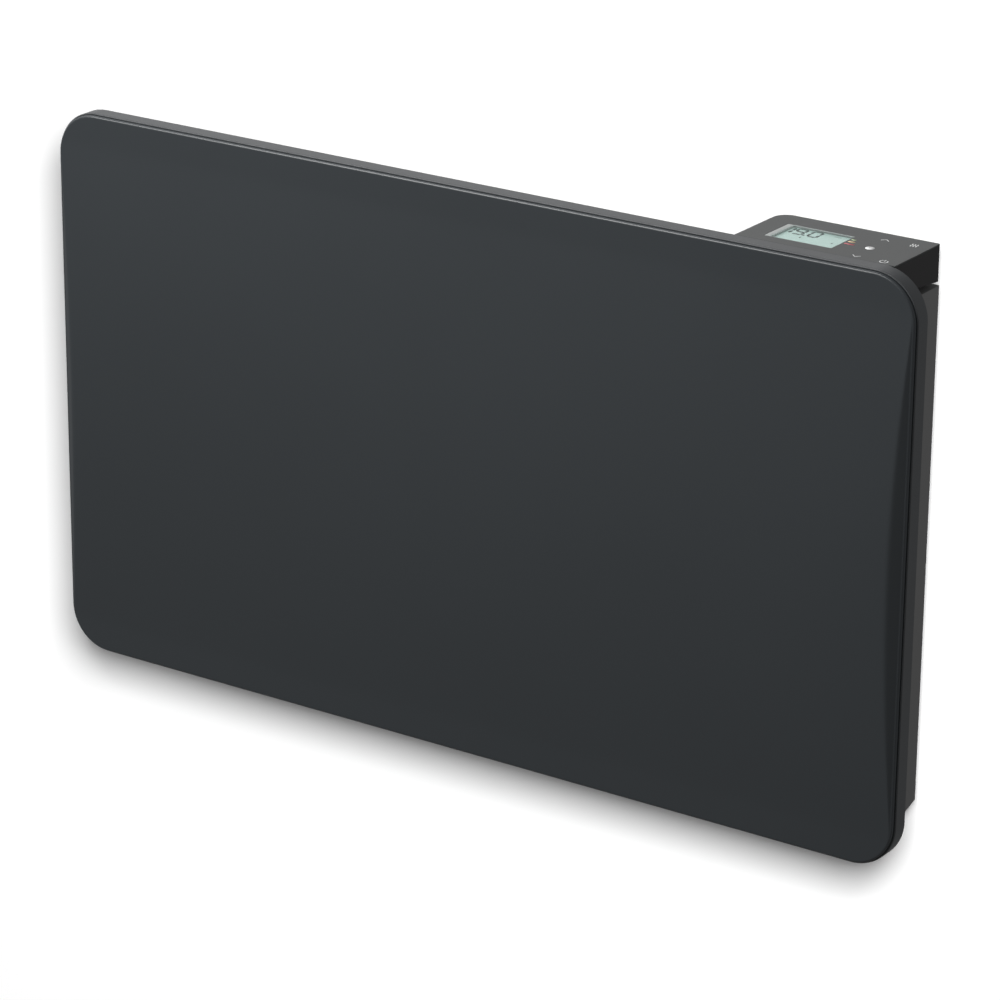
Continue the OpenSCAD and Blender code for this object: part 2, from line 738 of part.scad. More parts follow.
// Outlet grille: a frame with leaning vanes and cross ribs, dropped into the casing's top
module outlet_grille() {
    x0 = outlet_x0 + fit_gap;
    x1 = outlet_x1 - fit_gap;
    y0 = outlet_y0 + fit_gap;
    y1 = outlet_y0 + outlet_d - fit_gap;
    wall = 1.6;
    low = case_top - vane_h - 1;
    vanes = floor((y1 - y0 - 2 * wall - vane_pitch / 2) / vane_pitch);
    first = (y0 + y1) / 2 - (vanes - 1) * vane_pitch / 2;
    lean = vane_h * tan(vane_lean) / 2;
    half_t = vane_t / 2 / cos(vane_lean);
    ribs = floor((x1 - x0) / rib_pitch);
    rib_step = (x1 - x0) / ribs;
    color([0.2, 0.2, 0.21]) {
        difference() {
            union() {
                block([x0, y0, low], [x1, y1, case_top + 0.5]);
                block([x0 - grille_lip, y0 - grille_lip, case_top],
                      [x1 + grille_lip, y1 + grille_lip, case_top + 1.4]);
            }
            block([x0 + wall, y0 + wall, low - 1], [x1 - wall, y1 - wall, case_top + 2]);
        }
        intersection() {
            block([x0 + wall / 2, y0 + wall / 2, low], [x1 - wall / 2, y1 - wall / 2, case_top + 1]);
            union() {
                for (k = [0 : vanes - 1])
                    carried_x(x0, x1)
                        translate([first + k * vane_pitch, case_top + 0.9 - vane_h / 2]) polygon([
                        [lean - half_t, -vane_h / 2], [lean + half_t, -vane_h / 2],
                        [-lean + half_t, vane_h / 2], [-lean - half_t, vane_h / 2]
                    ]);
                for (k = [1 : ribs - 1]) block(
                    [x0 + k * rib_step - 0.8, y0, low + 1], [x0 + k * rib_step + 0.8, y1, case_top - 1.5]);
            }
        }
    }
}

// Inlet grille: a slotted plate on the inside of the sloping floor
module inlet_grille() {
    rows = 2;
    count = floor((2 * inlet_x - 12) / slot_pitch);
    first = -(count - 1) * slot_pitch / 2;
    row_gap = inlet_d / rows;
    color([0.22, 0.22, 0.23]) inlet_place() difference() {
        union() {
            block([-inlet_x - 6, -6, sheet_t], [inlet_x + 6, inlet_d + 6, sheet_t + 1.5]);
            block([-inlet_x + fit_gap, fit_gap, 0], [inlet_x - fit_gap, inlet_d - fit_gap, sheet_t + 0.5]);
        }
        for (row = [0 : rows - 1], k = [0 : count - 1])
            translate([first + k * slot_pitch, (row + 0.5) * row_gap, -1]) {
                x = slot_w / 2;
                straight = slot_l - slot_w;
                block([-x, -straight / 2, 0], [x, straight / 2, sheet_t + 4]);
                for (end = [-1, 1]) translate([0, end * straight / 2, 0]) cylinder(r = x, h = sheet_t + 4);
            }
    }
}

// Screws that hold the casing's flange to the frame
module casing_screws() {
    color([0.25, 0.25, 0.26]) for (at = case_screw_places) screw_y(at, seam_y + sheet_t, screw_l);
}

// Room temperature sensor: a bulb in a clip on the casing's floor, by the inlet
module room_sensor() {
    x = case_x - sensor_in;
    y = back_y - sensor_in;
    base = floor_z(y, sheet_t);
    color([0.88, 0.88, 0.86]) {
        carried_x(x - 5, x + 5) polygon([
            [y - 5, floor_z(y - 5, sheet_t)], [y + 5, floor_z(y + 5, sheet_t)],
            [y + 5, base + 3], [y - 5, base + 3]
        ]);
        block([x - 1.5, y - 3, base + 2], [x + 1.5, y + 3, base + 10]);
        rod_x(2.6, [y, base + 12], x - 9, x + 9);
    }
}

// Cable gland in the casing's back
module cable_gland() {
    color([0.12, 0.12, 0.12]) difference() {
        union() {
            rod_y(gland_r, gland_at, back_y - sheet_t - gland_in, back_y + 1);
            rod_y(gland_r + 3, gland_at, back_y, back_y + 2.5);
            translate([gland_at[0], back_y + gland_out, gland_at[1]]) rotate([90, 0, 0])
                cylinder(r1 = gland_r - 1, r2 = gland_r + 1.5, h = gland_out - 2);
        }
        rod_y(lead_r + 0.2, gland_at, back_y - sheet_t - gland_in - 1, back_y + gland_out + 1);
    }
}

// Nut that holds the gland from inside
module gland_nut() {
    y1 = back_y - sheet_t;
    color([0.14, 0.14, 0.14]) translate([gland_at[0], y1, gland_at[1]]) rotate([90, 0, 0]) difference() {
        cylinder(r = gland_r + 4, h = gland_nut_t, $fn = 6);
        translate([0, 0, -1]) cylinder(r = gland_r + 0.1, h = gland_nut_t + 2);
    }
}

// Unit vector from a point of a route to the next
function direction(points, i) = (points[i + 1] - points[i]) / norm(points[i + 1] - points[i]);

// A round lead through points joined by square corners, each rounded to the same bend
module lead(points) {
    last = len(points) - 2;
    for (i = [0 : last]) {
        d = direction(points, i);
        from = points[i] + d * (i == 0 ? 0 : lead_bend);
        to = points[i + 1] - d * (i == last ? 0 : lead_bend);
        translate(from) rotate([0, acos(d[2]), atan2(d[1], d[0])])
            cylinder(r = lead_wire_r, h = norm(to - from));
    }
    for (i = [0 : last - 1]) {
        v = direction(points, i);
        u = -direction(points, i + 1);
        w = cross(u, v);
        c = points[i + 1] - lead_bend * (u + v);
        multmatrix([
            [u[0], v[0], w[0], c[0]], [u[1], v[1], w[1], c[1]], [u[2], v[2], w[2], c[2]], [0, 0, 0, 1]
        ])
            rotate_extrude(angle = 90) translate([lead_bend, 0]) circle(lead_wire_r);
    }
}

// Leads from the element's two pins, up the right side and through the neck to the terminals
module element_leads() {
    color([0.75, 0.3, 0.22]) for (k = [0, 1]) {
        z = run_z(k * (2 * BRICK_ROWS - 1));
        pin_tip = tube_end_x + pin_l;
        side_x = tube_end_x + 28 - k * 6;
        turn_z = case_top - 14 - k * 6;
        up_x = terminal_x + (k == 0 ? 2.5 : 0.5) * terminal_pole;
        end_z = power_top + terminal_hole_z;
        difference() {
            union() {
                rod_x(lead_wire_r + 0.8, [tube_y, z], pin_tip - 4, pin_tip + 2);
                lead([
                    [pin_tip + 1, tube_y, z], [side_x, tube_y, z], [side_x, neck_y, z],
                    [side_x, neck_y, turn_z], [up_x, neck_y, turn_z], [up_x, neck_y, end_z],
                    [up_x, power_y0 + terminal_in + 5, end_z]
                ]);
            }
            rod_x(1.25, [tube_y, z], pin_tip - 5, pin_tip + 0.3);
        }
    }
}

// The box's outline from above, drawn in by inset
module box_plan(inset) {
    x0 = box_x + inset;
    x1 = box_x1 - inset;
    y0 = seam_y + inset;
    y1 = back_y - inset;
    r = box_corner_r - inset;
    e = box_edge_r - min(inset, box_edge_r - 0.2);
    difference() {
        translate([x0, y0]) square([x1 - x0, y1 - y0]);
        translate([x0 - 1, y1 - r]) square([r + 1, r + 1]);
        translate([x1 - e, y1 - e]) square([e + 1, e + 1]);
    }
    translate([x0 + r, y1 - r]) intersection() {
        circle(r);
        translate([-r, 0]) square(r);
    }
    translate([x1 - e, y1 - e]) intersection() {
        circle(e);
        square(e);
    }
}

// Control box: moulded tray with a sloping underside and a neck into the casing
module box_housing() {
    under = [back_y, half_h - box_rear_h];
    under_front = [seam_y, half_h - box_front_h];
    color([0.17, 0.165, 0.17]) difference() {
        union() {
            intersection() {
                translate([0, 0, box_top - 60]) linear_extrude(60) box_plan(0);
                carried_x(box_x - 1, box_x1 + 1) polygon([
                    under_front, under, [back_y, box_top], [seam_y, box_top]
                ]);
            }
            block([neck_x - neck_w / 2, neck_y - neck_d / 2, case_top - 7],
                  [neck_x + neck_w / 2, neck_y + neck_d / 2, half_h - box_front_h]);
        }
        intersection() {
            translate([0, 0, box_top - 60]) linear_extrude(61) box_plan(box_wall);
            carried_x(box_x, box_x1) polygon([
                under_front + [0, box_wall], under + [0, box_wall],
                [back_y, box_top + 1], [seam_y, box_top + 1]
            ]);
        }
        block([neck_x - neck_w / 2 + neck_wall, neck_y - neck_d / 2 + neck_wall, case_top - 8],
              [neck_x + neck_w / 2 - neck_wall, neck_y + neck_d / 2 - neck_wall, box_top - 8]);
        block([switch_x - switch_w / 2, back_y - box_wall - 1, switch_z - switch_h / 2],
              [switch_x + switch_w / 2, back_y + 1, switch_z + switch_h / 2]);
        for (at = box_screw_places) rod_y(screw_r + fit_gap, at, seam_y - 1, seam_y + box_wall + 1);
    }
}

// Screws that hold the box to the frame's flange
module box_screws() {
    color([0.6, 0.6, 0.61]) for (at = box_screw_places) screw_y(at, seam_y + box_wall, 4.5);
}

// Touch panel over the whole box, with the display's window cut out
module touch_panel() {
    color([0.4, 0.41, 0.41]) difference() {
        translate([0, 0, box_top]) linear_extrude(touch_t) box_plan(0);
        block([window_x, window_y, box_top - 1], [window_x + window_w, window_y + window_d, half_h + 1]);
    }
}

// Clear window, flush with the touch panel
module display_window() {
    g = 0.1;
    color([0.75, 0.85, 0.82, 0.5]) block(
        [window_x + g, window_y + g, box_top],
        [window_x + window_w - g, window_y + window_d - g, half_h]);
}

// Glass cell of the display
module lcd_glass() {
    color([0.7, 0.8, 0.77]) block(
        [window_x - lcd_rim, window_y - lcd_rim, box_top - lcd_t],
        [window_x + window_w + lcd_rim, window_y + window_d + lcd_rim, box_top]);
}

// Light box that carries the glass on the control board
module lcd_backlight() {
    color([0.9, 0.9, 0.88]) block(
        [window_x - lcd_rim, window_y - lcd_rim, board_z],
        [window_x + window_w + lcd_rim, window_y + window_d + lcd_rim, box_top - lcd_t]);
}

// Board behind the touch panel
module control_board() {
    color([0.1, 0.35, 0.2]) difference() {
        block([box_x + 13, seam_y + box_wall + board_in - 3, board_z - board_t],
              [box_x1 - box_wall - 1, back_y - box_wall - board_in, board_z]);
        for (at = post_places) rod_z(1.2, at, board_z - board_t - 1, board_z + 1);
    }
}

// Sprung pads that join the board to the touch panel behind each symbol
module touch_pads() {
    color([0.75, 0.75, 0.72]) for (key = touch_keys) difference() {
        rod_z(3, [box_x + key[0], seam_y + key[1]], board_z, box_top);
        rod_z(2.2, [box_x + key[0], seam_y + key[1]], board_z - 1, box_top - 1);
    }
}

// Posts between the two boards
module board_posts() {
    color([0.85, 0.82, 0.6]) for (at = post_places) {
        rod_z(2.2, at, power_z + board_t, board_z - board_t);
        rod_z(1.1, at, board_z - board_t - 0.5, board_z);
    }
}

// Board that switches the mains
module power_board() {
    color([0.12, 0.3, 0.18]) {
        block([power_x0, power_y0, power_z], [power_x1, power_y1, power_z + board_t]);
        for (at = post_places) {
            under = half_h - box_front_h - (at[1] + 2 - seam_y) * (box_rear_h - box_front_h) / case_depth;
            rod_z(2, at, under + box_wall + 0.5, power_z + board_t / 2);
        }
    }
}

// Relay that switches the element
module relay() {
    color([0.15, 0.25, 0.5])
        block([power_x0 + 9, power_y1 - 14, power_top], [power_x0 + 38, power_y1 - 2, power_top + 10]);
}

// Transformer that feeds the control board: a coil in a core
module supply_transformer() {
    x = power_x0 + 46;
    color([0.85, 0.75, 0.3]) block([x, power_y1 - 19, power_top + 2], [x + 18, power_y1 - 3, power_top + 9]);
    color([0.25, 0.25, 0.26]) difference() {
        block([x - 2, power_y1 - 17, power_top], [x + 20, power_y1 - 5, power_top + 10.4]);
        block([x, power_y1 - 19, power_top + 2], [x + 18, power_y1 - 3, power_top + 9]);
    }
}

// Terminals for the two leads and the mains
module terminal_block() {
    y0 = power_y0 + terminal_in;
    color([0.2, 0.5, 0.3]) difference() {
        block([terminal_x, y0, power_top], [terminal_x + 3 * terminal_pole, y0 + 11, power_top + 9]);
        for (k = [0 : 2]) rod_y(
            lead_wire_r + fit_gap, [terminal_x + (k + 0.5) * terminal_pole, power_top + terminal_hole_z],
            y0 - 1, y0 + 7);
    }
}

// Mains switch: a snap-in body with a hollow for the rocker and two blades
module switch_body() {
    g = 0.15;
    cavity_y = pivot_y - 4.5;
    x = switch_w / 2 - g;
    z = switch_h / 2 - g;
    color([0.08, 0.08, 0.08]) difference() {
        union() {
            block([switch_x - x, back_y - 14, switch_z - z], [switch_x + x, back_y + 0.5, switch_z + z]);
            block([switch_x - bezel_x, back_y, switch_z - bezel_z],
                  [switch_x + bezel_x, back_y + bezel_t, switch_z + bezel_z]);
            for (k = [-1, 1]) block([switch_x + k * 5 - 0.4, back_y - 20, switch_z - 2.4],
                                    [switch_x + k * 5 + 0.4, back_y - 13, switch_z + 2.4]);
        }
        block([switch_x - x + 1, cavity_y, switch_z - z + 1],
              [switch_x + x - 1, back_y + bezel_t + 1, switch_z + z - 1]);
        rod_z(1.1 + pin_clearance, [switch_x, pivot_y], switch_z - z + 0.2, switch_z + z - 0.2);
    }
}

// Rocker on its two trunnions, tilted to the on side
module rocker() {
    z = switch_h / 2 - 1.15 - fit_gap;
    color([0.12, 0.12, 0.12]) translate([switch_x, pivot_y, switch_z]) rotate([0, 0, rocker_tilt]) {
        translate([0, 0, -z]) linear_extrude(2 * z) polygon([
            [-rocker_half, -1.5], [-rocker_half, 3.4], [0, 2.1], [rocker_half, 3.4], [rocker_half, -1.5],
            [3, -3], [-3, -3]
        ]);
        translate([0, 0, -z - 0.6]) cylinder(r = 1.1, h = 2 * z + 1.2);
    }
}

// Wall bracket: a channel with two hooks at the top and ears for the latch pin below
module bracket(side) {
    w = bracket_w / 2;
    top = hook_z + 4;
    d = -bracket_d;
    lip_y = back_y - sheet_t - 0.8;
    color([0.62, 0.63, 0.64]) translate([side * bracket_x, 0, 0]) difference() {
        union() {
            block([-w, -bracket_t, bracket_low], [w, 0, top]);
            for (x = [-w, w - bracket_t]) {
                carried_x(x, x + bracket_t) polygon([
                    [-bracket_t / 2, bracket_low], [latch_y - 7, bracket_low + 4], [d, bracket_low + 14],
                    [d, hook_z - hook_h], [lip_y - 3, hook_z - hook_h], [lip_y - 3, hook_z + hook_lip - 1],
                    [lip_y - 2, hook_z + hook_lip], [lip_y, hook_z + hook_lip], [lip_y, hook_z],
                    [d, hook_z], [-bracket_t / 2, top]
                ]);
            }
        }
        for (z = [-1, 1]) rod_y(bolt_hole_r, [0, z * bolt_span_z / 2], -bracket_t - 1, 1);
        rod_x(pin_r, [latch_y, latch_z], -w - 1, w + 1);
        block([-7, -bracket_t - 1, -30], [7, 1, 30]);
    }
}

// Latch: a lever that hangs on its pin, with a nose in the casing's slot and a finger tab below
module latch(side) {
    arm_front = -7;
    arm_rear = -3.5;
    tip = back_y - nose_reach - latch_y;
    color([0.75, 0.35, 0.12]) translate([side * bracket_x, latch_y, latch_z]) difference() {
        union() {
            rod_x(4.6, [0, 0], -latch_w / 2, latch_w / 2);
            carried_x(-latch_w / 2, latch_w / 2) polygon([
                [arm_front, -3], [-3, 3], [1, 0], [arm_rear, -6], [arm_rear, -33], [arm_rear - 0.8, -36],
                [arm_front - 1, -36], [arm_front, -32], [arm_front, -nose_low], [tip, -nose_low + 2],
                [tip, -nose_top - 1], [tip + 1, -nose_top], [arm_front, -nose_top]
            ]);
        }
        rod_x(pin_r + pin_clearance, [0, 0], -latch_w, latch_w);
    }
}

// Headed pin that a latch hangs on
module latch_pin(side) {
    w = bracket_w / 2;
    color([0.75, 0.76, 0.77]) translate([side * bracket_x, 0, 0]) {
        rod_x(pin_r, [latch_y, latch_z], -w - 1.5, w + 0.5);
        rod_x(pin_r + 1.5, [latch_y, latch_z], w, w + 1.2);
    }
}

front_frame();
front_plate();
plate_studs();
plate_seal();
plate_clips();
plate_nuts();
heat_spreader();
front_brick(1);  // front_brick_1
front_brick(2);  // front_brick_2
front_brick(3);  // front_brick_3
front_brick(4);  // front_brick_4
front_brick(5);  // front_brick_5
front_brick(6);  // front_brick_6
rear_brick(1);  // rear_brick_1
rear_brick(2);  // rear_brick_2
rear_brick(3);  // rear_brick_3
rear_brick(4);  // rear_brick_4
rear_brick(5);  // rear_brick_5
rear_brick(6);  // rear_brick_6
heating_element();
element_beads();
clamp_bar(bar_places[0]);  // clamp_bar_left
clamp_bar(bar_places[1]);  // clamp_bar_middle
clamp_bar(bar_places[2]);  // clamp_bar_right
thermal_cutout();
heat_reflector();
reflector_screws();
rear_casing();
outlet_grille();
inlet_grille();
casing_screws();
room_sensor();
cable_gland();
gland_nut();
element_leads();
box_housing();
box_screws();
touch_panel();
display_window();
lcd_glass();
lcd_backlight();
control_board();
touch_pads();
board_posts();
power_board();
relay();
supply_transformer();
terminal_block();
switch_body();
rocker();
bracket(-1);  // left_bracket
bracket(1);  // right_bracket
latch(-1);  // left_latch
latch(1);  // right_latch
latch_pin(-1);  // left_latch_pin
latch_pin(1);  // right_latch_pin
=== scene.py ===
"""Looks of a wall-hung electric radiator, laid out as an add-on. Lengths are metres in the part's frame."""

import json
import math

import bmesh
import bpy
import numpy as np
from bpy.props import FloatProperty, FloatVectorProperty, PointerProperty, StringProperty
from mathutils import Matrix, Vector

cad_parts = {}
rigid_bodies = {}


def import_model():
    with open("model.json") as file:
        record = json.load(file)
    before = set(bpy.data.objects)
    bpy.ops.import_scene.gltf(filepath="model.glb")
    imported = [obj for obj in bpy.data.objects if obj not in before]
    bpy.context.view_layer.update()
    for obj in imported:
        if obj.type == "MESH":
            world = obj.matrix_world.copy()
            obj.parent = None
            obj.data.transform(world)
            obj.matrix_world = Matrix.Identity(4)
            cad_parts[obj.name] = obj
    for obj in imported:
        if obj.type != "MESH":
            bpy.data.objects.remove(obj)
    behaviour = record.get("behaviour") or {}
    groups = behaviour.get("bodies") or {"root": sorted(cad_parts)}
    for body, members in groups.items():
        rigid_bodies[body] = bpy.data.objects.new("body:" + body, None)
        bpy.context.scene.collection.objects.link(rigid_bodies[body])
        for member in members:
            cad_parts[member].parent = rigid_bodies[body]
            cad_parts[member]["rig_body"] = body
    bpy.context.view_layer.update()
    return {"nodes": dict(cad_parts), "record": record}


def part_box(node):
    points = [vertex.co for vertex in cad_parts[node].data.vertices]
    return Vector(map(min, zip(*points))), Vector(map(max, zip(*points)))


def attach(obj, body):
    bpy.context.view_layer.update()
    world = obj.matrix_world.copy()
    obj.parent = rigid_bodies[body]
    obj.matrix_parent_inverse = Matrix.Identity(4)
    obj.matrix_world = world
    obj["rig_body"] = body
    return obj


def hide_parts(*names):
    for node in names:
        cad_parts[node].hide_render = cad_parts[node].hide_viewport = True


bl_info = {
    "name": "Wall radiator",
    "version": (1, 0, 0),
    "blender": (4, 5, 0),
    "location": "3D View > Sidebar > Radiator",
    "description": "Surfaces, prints, finishes and stage of a wall-hung electric radiator",
    "category": "Object",
}

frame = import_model()
BODY = "radiator"
MM = 0.001
FLAT, SHARP = math.radians(0.5), math.radians(32)


def srgb(red, green, blue):
    """A display colour from 0 to 255 as linear light: ((c + 0.055) / 1.055)^2.4, or c / 12.92 near black."""
    c = np.array([red, green, blue]) / 255
    light = np.where(c <= 0.04045, c / 12.92, ((c + 0.055) / 1.055) ** 2.4)
    return tuple(float(x) for x in light)


# Surfaces worked out as whole arrays

def outline(low, high, radii, steps=10):
    """A closed loop round a rectangle whose corners have their own radii, counted from the far right one.
    A corner's points are its centre plus the radius times (cos a, sin a), over a quarter turn."""
    low, high, radii = np.array(low, float), np.array(high, float), np.maximum(radii, 1e-6)
    signs = np.array([[1, 1], [-1, 1], [-1, -1], [1, -1]])
    corners = np.where(signs > 0, high, low)
    centres = corners - signs * radii[:, None]
    turn = np.linspace(0, math.pi / 2, steps + 1) + np.arange(4)[:, None] * math.pi / 2
    ring = np.stack([np.cos(turn), np.sin(turn)], -1)
    return (centres[:, None] + radii[:, None, None] * ring).reshape(-1, 2)


def soft_section(corners, reaches, steps=4):
    """A closed section whose corners are eased by a parabola between two points, one reach before and after.
    The parabola is (1-s)^2 A + 2 s (1-s) C + s^2 B, for a corner C between A and B."""
    corners = np.array(corners, float)
    reaches = np.maximum(reaches, 1e-9)[:, None]
    back = np.roll(corners, 1, 0) - corners
    ahead = np.roll(corners, -1, 0) - corners
    a = corners + back / np.linalg.norm(back, axis=1, keepdims=True) * reaches
    b = corners + ahead / np.linalg.norm(ahead, axis=1, keepdims=True) * reaches
    s = np.linspace(0, 1, steps + 1)[None, :, None]
    eased = (1 - s) ** 2 * a[:, None] + 2 * s * (1 - s) * corners[:, None] + s**2 * b[:, None]
    return eased.reshape(-1, 2)


def grid_faces(rows, columns, wrap_rows=False, wrap_columns=False):
    """Four-sided faces between neighbouring points of a grid, which may close on itself either way."""
    i, j = np.meshgrid(
        np.arange(rows if wrap_rows else rows - 1),
        np.arange(columns if wrap_columns else columns - 1),
        indexing="ij",
    )
    below, beside = (i + 1) % rows, (j + 1) % columns
    corners = [i * columns + j, i * columns + beside, below * columns + beside, below * columns + j]
    return np.stack(corners, -1).reshape(-1, 4)


def loft(loops, closed=False, capped=False):
    """A skin through equal loops: point k of each loop is joined to point k of the next.
    It is closed from the last loop to the first, or capped by one flat face at each end."""
    count = len(loops[0])
    faces = grid_faces(len(loops), count, wrap_rows=closed, wrap_columns=True).tolist()
    if capped:
        first = list(range(count))
        faces += [first, [(len(loops) - 1) * count + k for k in reversed(first)]]
    return np.concatenate(loops), faces


def lathe(section, steps=48):
    """A section in [radius, height] turned about the third axis: point (r cos a, r sin a, h)."""
    section = np.array(section, float)
    a = np.linspace(0, 2 * math.pi, steps, endpoint=False)[None, :]
    r, h = section[:, :1], section[:, 1:]
    points = np.stack([r * np.cos(a), r * np.sin(a), h + 0 * a], -1).reshape(-1, 3)
    return points, grid_faces(len(section), steps, wrap_columns=True).tolist()


def joined(patches):
    """Several (points, faces) patches as one."""
    points, faces, start = [], [], 0
    for patch_points, patch_faces in patches:
        points.append(patch_points)
        faces += [[k + start for k in face] for face in patch_faces]
        start += len(patch_points)
    return np.concatenate(points), faces


def add_piece(name, patch, material, even=True):
    """Makes a smooth piece with welded seams and faces that point outwards, which rides on the radiator."""
    points, faces = patch
    mesh = bpy.data.meshes.new(name)
    mesh.from_pydata(points, [], faces)
    weld(mesh)
    piece = show_piece(name, mesh, material, BODY)
    if even:
        even_normals(piece)
    return piece


def weld(mesh):
    """Merges doubled points and turns the faces outwards."""
    work = bmesh.new()
    work.from_mesh(mesh)
    bmesh.ops.remove_doubles(work, verts=work.verts, dist=1e-7)
    bmesh.ops.recalc_face_normals(work, faces=work.faces)
    work.to_mesh(mesh)
    work.free()


def show_piece(name, mesh, material, body):
    """Links a mesh as a smooth-shaded piece, which rides on a body."""
    mesh.shade_smooth()
    mesh.materials.append(material)
    piece = bpy.data.objects.new(name, mesh)
    bpy.context.scene.collection.objects.link(piece)
    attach(piece, body)
    return piece


def even_normals(piece):
    """Keeps flat faces looking flat beside narrow edges."""
    piece.modifiers.new("Even normals", "WEIGHTED_NORMAL").keep_sharp = True


def softened(node, width, material):
    """A CAD node's shape with eased edges: flat faces are merged, and sharp edges get a narrow round."""
    source = frame["nodes"][node]
    mesh = source.data.copy()
    mesh.materials.clear()
    work = bmesh.new()
    work.from_mesh(mesh)
    bmesh.ops.remove_doubles(work, verts=work.verts, dist=2e-6)
    bmesh.ops.dissolve_limit(work, angle_limit=FLAT, verts=work.verts, edges=work.edges, delimit={"NORMAL"})
    work.to_mesh(mesh)
    work.free()
    piece = show_piece(node.title().replace("_", ""), mesh, material, source["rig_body"])
    bevel = piece.modifiers.new("Eased edges", "BEVEL")
    bevel.width, bevel.segments, bevel.limit_method = width, 2, "ANGLE"
    bevel.angle_limit = SHARP
    bevel.use_clamp_overlap = True
    even_normals(piece)
    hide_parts(node)
    return piece


# Shader maths

class Value:
    """An output of a node. Sums, differences and products of values add their Math nodes."""

    def __init__(self, shades, socket):
        self.shades, self.socket = shades, socket

    def maths(self, operation, first, second):
        """Adds one Math node."""
        return self.shades.add("ShaderNodeMath", {"operation": operation}, {0: first, 1: second})

    def __add__(self, other):
        return self.maths("ADD", self, other)

    def __rsub__(self, other):
        return self.maths("SUBTRACT", other, self)

    def __mul__(self, other):
        return self.maths("MULTIPLY", self, other)

    __radd__, __rmul__ = __add__, __mul__


class Shades:
    """The node tree of a new material, or of a world or lamp that is given, built from values."""

    def __init__(self, owner, place="Object"):
        self.material = bpy.data.materials.new(owner) if isinstance(owner, str) else owner
        self.material.use_nodes = True
        self.tree = self.material.node_tree
        self.tree.nodes.clear()
        self.place = self.add("ShaderNodeTexCoord", output=place)

    def add(self, kind, settings=None, sockets=None, output=0):
        """Adds any node: its settings first, then the values or links of its sockets."""
        node = self.tree.nodes.new(kind)
        for key, value in (settings or {}).items():
            setattr(node, key, value)
        for key, value in (sockets or {}).items():
            if isinstance(value, Value):
                self.tree.links.new(value.socket, node.inputs[key])
            else:
                node.inputs[key].default_value = value
        return Value(self, node.outputs[output])

    def noise(self, size, detail=2.0, roughness=0.5, stretch=(1, 1, 1)):
        """Noise from 0 to 1 whose features are about size metres wide, drawn out by stretch."""
        scale = tuple(1 / (size * s) for s in stretch)
        place = self.add("ShaderNodeMapping", {}, {"Vector": self.place, "Scale": scale})
        sockets = {"Vector": place, "Scale": 1.0, "Detail": detail, "Roughness": roughness}
        return self.add("ShaderNodeTexNoise", {}, sockets)

    def along(self, axis):
        """Place along one axis, in metres."""
        return self.add("ShaderNodeSeparateXYZ", {}, {0: self.place}, output=axis)

    def towards(self, direction):
        """How far the place, taken as a direction, points along another: their dot product."""
        product = {"operation": "DOT_PRODUCT"}
        return self.add("ShaderNodeVectorMath", product, {0: self.place, 1: direction}, output=1)

    def step(self, value, start, end):
        """0 before start and 1 after end, eased between."""
        return self.add(
            "ShaderNodeMapRange", {"interpolation_type": "SMOOTHSTEP"},
            {"Value": value, "From Min": start, "From Max": end},
        )

    def mix(self, factor, first, second):
        """A blend of two colours: a Mix node's factor is socket 0, its colours 6 and 7, and its result 2."""
        colours = {0: factor, 6: self.colour(first), 7: self.colour(second)}
        return self.add("ShaderNodeMix", {"data_type": "RGBA"}, colours, output=2)

    def tones(self, factor, colour, low, high=1):
        """A colour that goes from low to high times its own brightness."""
        return self.mix(factor, [c * low for c in colour], [c * high for c in colour])

    @staticmethod
    def colour(value):
        """A colour as a socket takes it, with an alpha of 1."""
        return value if isinstance(value, Value) or len(value) == 4 else (*value, 1)

    def bump(self, height, depth):
        """A normal bent by a height from 0 to 1, over a depth in metres."""
        return self.add("ShaderNodeBump", {}, {"Height": height, "Distance": depth})

    def finish(self, **sockets):
        """Ends the tree in one Principled shader and returns the material."""
        named = {key.replace("_", " "): value for key, value in sockets.items()}
        if "Base Color" in named:
            named["Base Color"] = self.colour(named["Base Color"])
        shader = self.add("ShaderNodeBsdfPrincipled", {}, named)
        self.add_output(shader)
        return self.material

    def add_output(self, shader, kind="ShaderNodeOutputMaterial"):
        """Joins a shader to the tree's output."""
        node = self.tree.nodes.new(kind)
        self.tree.links.new(shader.socket, node.inputs["Surface"])


# Finishes

def satin_paint(name, colour, roughness=0.42, peel=0.00002, specular=0.4):
    """Baked powder paint: an even colour that drifts a little, with the faint ripple of flowed powder."""
    m = Shades(name)
    drift = m.noise(0.22, 2)
    ripple = m.noise(0.0016, 2, 0.55)
    grain = m.noise(0.00035, 1)
    base = m.tones(drift, colour, 0.95, 1.05)
    return m.finish(
        Base_Color=base,
        Roughness=roughness - 0.03 + 0.04 * drift + 0.03 * grain,
        Specular_IOR_Level=specular,
        Normal=m.bump(ripple + 0.3 * grain, peel),
    )


def moulded_plastic(name, colour, roughness=0.5, grain_size=0.0004, depth=0.00002, specular=0.4):
    """Moulded plastic with a spark-eroded grain."""
    m = Shades(name)
    drift = m.noise(0.05, 2)
    grain = m.noise(grain_size, 2, 0.6)
    base = m.tones(drift, colour, 0.94, 1.06)
    return m.finish(
        Base_Color=base,
        Roughness=roughness - 0.04 + 0.08 * grain,
        Specular_IOR_Level=specular,
        Normal=m.bump(grain, depth),
    )


def brushed_metal(name, colour, roughness=0.34, stretch=(1, 1, 40), size=0.0005):
    """Rolled or drawn metal: fine lines along one axis, with a slow change of tone."""
    m = Shades(name)
    lines = m.noise(size, 3, 0.6, stretch)
    cloud = m.noise(0.03, 3)
    base = m.tones(0.65 * lines + 0.35 * cloud, colour, 0.86)
    return m.finish(
        Base_Color=base,
        Metallic=1.0,
        Roughness=roughness - 0.08 + 0.16 * lines,
        Normal=m.bump(lines, 0.00001),
    )


